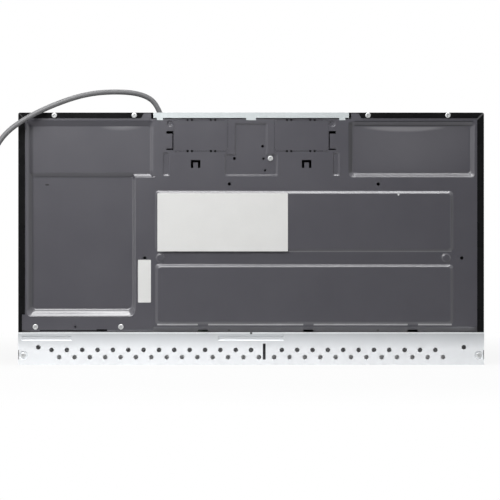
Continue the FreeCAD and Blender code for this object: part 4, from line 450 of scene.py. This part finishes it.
def placed(pattern, moves):
    """Copies of a pattern at several places, each with its own mesh. The pattern itself goes."""
    copies = []
    for move in moves:
        select_only(pattern)
        bpy.ops.object.duplicate(linked=False)
        copy = bpy.context.object
        copy.location = move
        bpy.ops.object.transform_apply(location=True, rotation=True, scale=True)
        copies.append(copy)
    bpy.data.objects.remove(pattern)
    return copies


def joined(name, pieces):
    """Several pieces made one, under a new name."""
    select_only(*pieces)
    bpy.ops.object.join()
    pieces[0].name = name
    return pieces[0]


HEAD_RADIUS, HEAD_HEIGHT, HEAD_SIDES = 0.0044, 0.0022, 28
HEAD_ROUNDING = HEAD_HEIGHT * 0.55
BLADE_SIZE = (HEAD_RADIUS * 1.05, HEAD_HEIGHT * 1.2, HEAD_RADIUS * 0.3)
RECESS_REACH, RECESS_FLOOR, RECESS_BRIM = 0.53 * HEAD_RADIUS, 0.1 * HEAD_HEIGHT, 0.97 * HEAD_HEIGHT


def pan_head():
    """A pan head standing on the plane y = 0, its upper edge rounded and its cross recess cut in."""
    bpy.ops.object.select_all(action="DESELECT")
    bpy.ops.mesh.primitive_cylinder_add(vertices=HEAD_SIDES, radius=HEAD_RADIUS, depth=HEAD_HEIGHT,
                                        location=(0, HEAD_HEIGHT / 2, 0), rotation=(math.pi / 2, 0, 0))
    head = bpy.context.object
    bpy.ops.object.transform_apply(location=True, rotation=True, scale=True)
    bpy.ops.object.mode_set(mode="EDIT")
    bpy.ops.mesh.select_mode(type="FACE")
    bpy.ops.mesh.select_all(action="DESELECT")
    bpy.ops.object.mode_set(mode="OBJECT")
    for face in head.data.polygons:
        face.select = face.normal.y > 0.9
    bpy.ops.object.mode_set(mode="EDIT")
    bpy.ops.mesh.bevel(offset=HEAD_ROUNDING, segments=4, affect="EDGES")
    bpy.ops.object.mode_set(mode="OBJECT")
    for turn in (math.pi / 4, math.pi * 3 / 4):
        bpy.ops.mesh.primitive_cube_add(size=1, location=(0, HEAD_HEIGHT, 0), rotation=(0, turn, 0),
                                        scale=BLADE_SIZE)
        blade = bpy.context.object
        cut = head.modifiers.new("recess", "BOOLEAN")
        cut.object = blade
        cut.operation = "DIFFERENCE"
        select_only(head)
        bpy.ops.object.modifier_apply(modifier=cut.name)
        bpy.data.objects.remove(blade)
    bpy.ops.object.shade_smooth_by_angle(angle=math.radians(35))
    # faces inside the cross recess take the second finish, a darker zinc as painted shade
    for face in head.data.polygons:
        inside = math.hypot(face.center.x, face.center.z) < RECESS_REACH
        sunk = RECESS_FLOOR < face.center.y < RECESS_BRIM
        face.material_index = int(inside and sunk)
    return head


bright_zinc, start = new_finish("bright_zinc_plating")
stain = grain(start, scale=700, detail=2)
close_finish(start, {
    "Base Color": mixed(start, stain, (0.6, 0.61, 0.61, 1), (0.8, 0.81, 0.81, 1)),
    "Metallic": 0.45,
    "Roughness": 0.22 + 0.16 * stain,
})
# a darker zinc for the cross recess: painted shade
recess_shade_zinc, start = new_finish("shaded_zinc_recess")
stain = grain(start, scale=700, detail=2)
close_finish(start, {
    "Base Color": mixed(start, stain, (0.1, 0.1, 0.105, 1), (0.17, 0.17, 0.175, 1)),
    "Metallic": 0.45,
    "Roughness": 0.45 + 0.15 * stain,
})
ROOF_SCREWS = [(side * across, 0.21215, 0.4065) for side in (1, -1) for across in (0.3207, 0.1905)]
FOOT_SCREWS = [(0.3516, 0.21125, 0.0617), (0.2122, 0.21125, 0.0617)]
RECESS_SCREW = (-0.0315, 0.20825, 0.3364)
PLATE_SCREWS = [(side * 0.371, 0.21335, 0.0155) for side in (1, -1)]
heads = joined("screw_heads", placed(pan_head(), [*ROOF_SCREWS, *FOOT_SCREWS, RECESS_SCREW, *PLATE_SCREWS]))
heads.data.materials.append(bright_zinc)
heads.data.materials.append(recess_shade_zinc)
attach(heads, "cabinet")
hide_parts("case_screws")


# Blank labels: two plain white paper stickers, die cut with small round corners.
# They are glued flat to the grey coat, a wide one on the upper field and a small one beside the bay.
def sheet_piece(name, low, high, corner):
    """A flat piece between two corner points, thin along y, with its four corners rounded."""
    bpy.ops.object.select_all(action="DESELECT")
    bpy.ops.mesh.primitive_cube_add(size=1, location=[(a + b) / 2 for a, b in zip(low, high)],
                                    scale=[b - a for a, b in zip(low, high)])
    piece = bpy.context.object
    piece.name = name
    bpy.ops.object.transform_apply(location=True, rotation=True, scale=True)
    bpy.ops.object.mode_set(mode="EDIT")
    bpy.ops.mesh.select_mode(type="EDGE")
    bpy.ops.mesh.select_all(action="DESELECT")
    bpy.ops.object.mode_set(mode="OBJECT")
    for edge in piece.data.edges:
        first, last = (piece.data.vertices[end].co for end in edge.vertices)
        edge.select = abs(first.y - last.y) > 0.9 * (high[1] - low[1])
    bpy.ops.object.mode_set(mode="EDIT")
    bpy.ops.mesh.bevel(offset=corner, segments=4, affect="EDGES")
    bpy.ops.object.mode_set(mode="OBJECT")
    bpy.ops.object.shade_smooth_by_angle(angle=math.radians(30))
    return piece


paper, start = new_finish("white_label_paper")
fibre = grain(start, scale=900, detail=3)
smudge = grain(start, scale=34, detail=3)
close_finish(start, {
    "Base Color": mixed(start, 0.6 * fibre + 0.4 * smudge, (0.55, 0.55, 0.54, 1), (0.64, 0.64, 0.63, 1)),
    "Roughness": 0.42 + 0.12 * fibre,
    "Normal": bumped(start, fibre, strength=0.05, depth=0.0002),
})
LABEL_CORNER = 0.0012
LABELS = (("wide_label", (-0.0598, 0.21524, 0.1849), (0.1526, 0.21536, 0.2797)),
          ("small_label", (0.1633, 0.21124, 0.1014), (0.1844, 0.21136, 0.171)))
for name, low, high in LABELS:
    label = sheet_piece(name, low, high, LABEL_CORNER)
    label.data.materials.append(paper)
    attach(label, "cabinet")


# Glass tray and cooktop lamp lens: clear pressed glass, faintly rippled by the mould.
# The tray rests on the three rollers, and the lens lies in its opening in the base pan.
clear_glass, start = new_finish("clear_pressed_glass")
close_finish(start, {
    "Base Color": (0.86, 0.93, 0.92, 1),
    "Roughness": 0.03 + 0.04 * grain(start, scale=50, detail=1),
    "Transmission Weight": 1.0,
    "IOR": 1.45,
})
dress(clear_glass, "glass_tray", "lamp_lens")


# Door window and display window: sheets of smoked glass with polished faces.
# They are bonded into the door's bezel and into the control panel.
smoked, start = new_finish("smoked_glass")
close_finish(start, {
    "Base Color": (0.012, 0.012, 0.014, 1),
    "Roughness": 0.03 + 0.03 * grain(start, scale=18, detail=1),
    "Alpha": 0.62,
    "Coat Weight": 0.3,
})
dress(smoked, "door_glass", "display_window")


# Door screen: a thin steel sheet behind the window, pierced all over with even rows of small holes.
# It keeps the waves in, is blackened and is spot welded into the door pan.
HOLE_SIZE = 0.3
pierced, start = new_finish("pierced_screen")
holes = cells(start, scale=430, randomness=0.0) < HOLE_SIZE
close_finish(start, {
    "Base Color": mixed(start, holes, (0.05, 0.05, 0.052, 1), (0.004, 0.004, 0.004, 1)),
    "Roughness": 0.45 + 0.15 * grain(start, scale=80, detail=2),
    "Metallic": 0.3,
})
dress(pierced, "door_screen")


# Door handle: a steel bar, brushed along its length.
# It is bolted through two posts of the same metal from inside the door.
brushed_steel, start = new_finish("brushed_handle")
brush = grain(start, scale=900, detail=2, stretch=(1, 1, 0.02))
close_finish(start, {
    "Base Color": mixed(start, brush, (0.5, 0.5, 0.51, 1), (0.68, 0.68, 0.69, 1)),
    "Metallic": 0.95,
    "Roughness": 0.24 + 0.2 * brush,
})
dress(brushed_steel, "door_handle", "handle_posts")


# Key foil: a satin plastic membrane, glued to the control panel.
# Its raised key fields are blank: six rows of three, and two wide ones below.
foil, start = new_finish("key_foil")
weave = grain(start, scale=1200, detail=1)
close_finish(start, {
    "Base Color": mixed(start, weave, (0.016, 0.016, 0.018, 1), (0.022, 0.022, 0.024, 1)),
    "Roughness": 0.5 + 0.1 * weave,
    "Normal": bumped(start, weave, strength=0.1, depth=0.0002),
})
dress(foil, "keypad")
key_face, start = new_finish("key_face")
weave = grain(start, scale=1200, detail=1)
close_finish(start, {
    "Base Color": mixed(start, weave, (0.075, 0.076, 0.08, 1), (0.09, 0.091, 0.095, 1)),
    "Roughness": 0.48 + 0.1 * weave,
})
foil_low, foil_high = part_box("keypad")
KEY_COLUMNS, KEY_ROWS = 3, 6
KEY_GAP, KEY_CORNER = 0.006, 0.003
KEY_PROUD, KEY_SUNK = 0.0003, 0.0001
KEY_WIDE = (foil_high.x - foil_low.x - (KEY_COLUMNS + 1) * KEY_GAP) / KEY_COLUMNS
KEY_TALL = (foil_high.z - foil_low.z - (KEY_ROWS + 2) * KEY_GAP) / (KEY_ROWS + 1)
across_step, up_step = KEY_WIDE + KEY_GAP, KEY_TALL + KEY_GAP
left, foot = foil_low.x + KEY_GAP, foil_low.z + KEY_GAP
front, back = foil_low.y - KEY_PROUD, foil_low.y + KEY_SUNK
wide_key = KEY_WIDE * KEY_COLUMNS / 2
small = sheet_piece("key_field", (left, front, foot), (left + KEY_WIDE, back, foot + KEY_TALL), KEY_CORNER)
broad = sheet_piece("wide_key_field", (left, front, foot), (left + wide_key, back, foot + KEY_TALL), KEY_CORNER)
small.data.materials.append(key_face)
broad.data.materials.append(key_face)
small_moves = [(column * across_step, 0, row * up_step)
               for row in range(1, KEY_ROWS + 1) for column in range(KEY_COLUMNS)]
broad_moves = [(0, 0, 0), (foil_high.x - KEY_GAP - wide_key - left, 0, 0)]
keys = joined("key_fields", placed(small, small_moves) + placed(broad, broad_moves))
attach(keys, "cabinet")


# Grease filters: layers of expanded aluminium mesh, flattened and crimped in a thin frame.
# They lie in the base pan's two openings and drop out for washing.
STRAND_SIZE = 0.16
filter_mesh, start = new_finish("expanded_mesh")
spot = start.node("Mapping", {}, {"Vector": start.node("TexCoord", out="Object"), "Scale": (1, 2, 1)})
meshes = start.node("TexVoronoi", {"feature": "DISTANCE_TO_EDGE"},
                    {"Vector": spot, "Scale": 240, "Randomness": 0.25})
strand = meshes < STRAND_SIZE
close_finish(start, {
    "Base Color": mixed(start, strand, (0.12, 0.12, 0.125, 1), (0.7, 0.71, 0.72, 1)),
    "Metallic": 0.85,
    "Roughness": 0.36 + 0.2 * meshes,
    "Normal": bumped(start, strand, strength=0.5, depth=0.0015),
})
dress(filter_mesh, "grease_filter_left", "grease_filter_right")


# Power cord: a round grey lead in a plastic sheath, moulded on to its plug.
# It leaves the gland in the vent tray, arches over the roof's edge, comes down beside the case
# and ends along its side on the floor.
LEAD_RADIUS = 0.00425
ROUTE = [(0.1428, 0.18525, 0.386), (0.1498, 0.18565, 0.4226), (0.178, 0.18925, 0.4442), (0.2381, 0.20325, 0.4461),
         (0.29, 0.21625, 0.436), (0.3599, 0.22825, 0.4056), (0.4059, 0.23625, 0.371), (0.424, 0.24025, 0.325),
         (0.43, 0.24125, 0.262), (0.432, 0.24025, 0.2), (0.433, 0.23825, 0.138), (0.434, 0.23625, 0.0786),
         (0.435, 0.22225, 0.0453), (0.4365, 0.19675, 0.0198), (0.4385, 0.16325, 0.0065), (0.441, 0.12425, 0.005),
         (0.445, 0.08625, 0.006), (0.4485, 0.05625, 0.0105), (0.45, 0.03425, 0.013)]
lead_grey, start = new_finish("lead_sheath")
rub = grain(start, scale=120, detail=2)
close_finish(start, {
    "Base Color": mixed(start, rub, (0.115, 0.115, 0.119, 1), (0.145, 0.145, 0.15, 1)),
    "Roughness": 0.42 + 0.15 * rub,
    "Normal": bumped(start, rub, strength=0.03, depth=0.0003),
})
line = bpy.data.curves.new("power_lead", "CURVE")
line.dimensions = "3D"
line.bevel_depth = LEAD_RADIUS
line.bevel_resolution = 5
line.use_fill_caps = True
run = line.splines.new("NURBS")
run.points.add(len(ROUTE) - 1)
for point, place in zip(run.points, ROUTE):
    point.co = (*place, 1)
run.order_u = 3
run.use_endpoint_u = True
run.resolution_u = 12
lead = bpy.data.objects.new("power_lead", line)
bpy.context.scene.collection.objects.link(lead)
line.materials.append(lead_grey)
dress(lead_grey, "power_plug")
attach(lead, "cabinet")
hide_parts("power_cord")


# Studio floor: a plain white sweep that keeps the object's shadow.
# It is see-through just under the case, so that the base, its filters and its lamp show from below.
def backdrop_rays(start):
    """One for what the eye sees straight, in a mirror or through glass, and nought for what lights the object."""
    seen = start.node("LightPath", out="Is Camera Ray")
    mirrored = start.node("LightPath", out="Is Glossy Ray")
    through = start.node("LightPath", out="Is Transmission Ray")
    return start.worked("MAXIMUM", seen, start.worked("MAXIMUM", mirrored, through))


FLOOR_SIZE, FLOOR_DROP = 40, 0.0002
FLOOR_GREY, FLOOR_WHITE = (0.5, 0.5, 0.5, 1), (1, 1, 1, 1)
SHADOW_NEAR, SHADOW_FAR = 0.4, 1.3
UNDER_WIDE, UNDER_DEEP = (-0.374, 0.374), (-0.122, 0.205)
bpy.ops.object.select_all(action="DESELECT")
bpy.ops.mesh.primitive_plane_add(size=FLOOR_SIZE, location=(0, 0, -FLOOR_DROP))
floor = bpy.context.object
floor.name = "studio_floor"
floor_white, start = new_finish("studio_white")
matt = start.node("BsdfDiffuse", {}, {"Color": FLOOR_GREY})
glow = start.node("Emission", {}, {"Color": FLOOR_WHITE, "Strength": 1.0})
reach = start.node("VectorMath", {"operation": "LENGTH"}, {0: start.node("TexCoord", out="Object")}, "Value")
white = 0.9 + 0.1 * start.node("MapRange", {}, {"Value": reach, "From Min": SHADOW_NEAR, "From Max": SHADOW_FAR})
across, depth, _ = axes(start)
under = band(across, *UNDER_WIDE) * band(depth, *UNDER_DEEP)
boards = start.node("MixShader", {}, {0: white * backdrop_rays(start), 1: matt, 2: glow})
sweep = start.node("MixShader", {}, {0: under, 1: boards, 2: start.node("BsdfTransparent")})
start.node("OutputMaterial", {}, {"Surface": sweep})
floor.data.materials.append(floor_white)


# Studio flags: four black boards, one standing and one lying behind the oven and the same before it.
# Only reflections see them, and they give the glossy coats something dark to mirror.
FLAG_WIDE = 2.1
# name, middle, turn about the width, height or depth
FLAGS = (("standing_flag", (0, 1.5, 0.55), math.pi / 2, 1.1),
         ("lying_flag", (0, 0.96, 0.0004), 0, 1.08),
         ("front_standing_flag", (0, -1.7, 0.6), math.pi / 2, 1.2),
         ("front_lying_flag", (0, -1.2, 0.0004), 0, 1.0))
flag_black, start = new_finish("studio_black")
start.node("OutputMaterial", {}, {"Surface": start.node("BsdfDiffuse", {}, {"Color": (0.01, 0.01, 0.011, 1)})})
for name, place, turn, tall in FLAGS:
    bpy.ops.object.select_all(action="DESELECT")
    bpy.ops.mesh.primitive_plane_add(size=1, location=place, rotation=(turn, 0, 0))
    flag = bpy.context.object
    flag.name = name
    flag.scale = (FLAG_WIDE, tall, 1)
    bpy.ops.object.transform_apply(location=True, rotation=True, scale=True)
    flag.data.materials.append(flag_black)
    flag.visible_camera = False
    flag.visible_diffuse = False
    flag.visible_transmission = False
    flag.visible_shadow = False


# Surroundings and lamps: white all round to the eye, with a weak even light on the object itself.
# A long lamp hangs above the back, soft ones stand behind and before the oven, and one shines up from below.
AMBIENT = 0.2
world = bpy.data.worlds.new("studio_surroundings")
bpy.context.scene.world = world
world.use_nodes = True
world.node_tree.nodes.clear()
start = Shade(world.node_tree)
start.node("OutputWorld", {}, {"Surface": start.node("Background", {}, {
    "Color": FLOOR_WHITE, "Strength": AMBIENT + (1 - AMBIENT) * backdrop_rays(start)})})
# name, place, aim, watts, width, depth, opening of the beam in degrees
LAMPS = (("key_lamp", (0.2, 0.41, 1.05), (0.2, 0.41, 0.0), 2.3, 1.8, 0.42, 50),
         ("rear_lamp", (0.46, 1.3, 1.12), (0.0, 0.0, 0.2), 23, 0.8, 0.8, 180),
         ("front_lamp", (-0.6, -2.4, 1.1), (0.0, 0.0, 0.2), 32, 1.6, 1.6, 180),
         ("under_lamp", (0.0, 0.05, -1.4), (0.0, 0.04, 0.0), 14, 1.0, 1.0, 180))
for name, place, aim, watts, wide, deep, beam in LAMPS:
    lamp = bpy.data.lights.new(name, "AREA")
    lamp.shape = "RECTANGLE"
    lamp.energy = watts
    lamp.size = wide
    lamp.size_y = deep
    lamp.spread = math.radians(beam)
    holder = bpy.data.objects.new(name, lamp)
    holder.location = place
    towards = mathutils.Vector(aim) - holder.location
    holder.rotation_euler = towards.to_track_quat("-Z", "Y").to_euler()
    bpy.context.scene.collection.objects.link(holder)


# Camera: straight behind the oven and level, so that the back panel is seen square on.
# It stands far back with a long lens, and the depth hardly shows.
EYE_BACK, EYE_ASIDE, EYE_HEIGHT = 4.0, 0.0018, 0.187
PANEL_AT, VIEW_WIDE, SENSOR_WIDE = 0.21125, 0.815, 36
eye = bpy.data.cameras.new("eye")
eye.sensor_width = SENSOR_WIDE
eye.lens = SENSOR_WIDE * EYE_BACK / VIEW_WIDE
viewer = bpy.data.objects.new("eye", eye)
viewer.location = (EYE_ASIDE, PANEL_AT + EYE_BACK, EYE_HEIGHT)
viewer.rotation_euler = (math.pi / 2, 0, math.pi)
bpy.context.scene.collection.objects.link(viewer)
bpy.context.scene.camera = viewer
bpy.context.scene.view_settings.view_transform = "Standard"
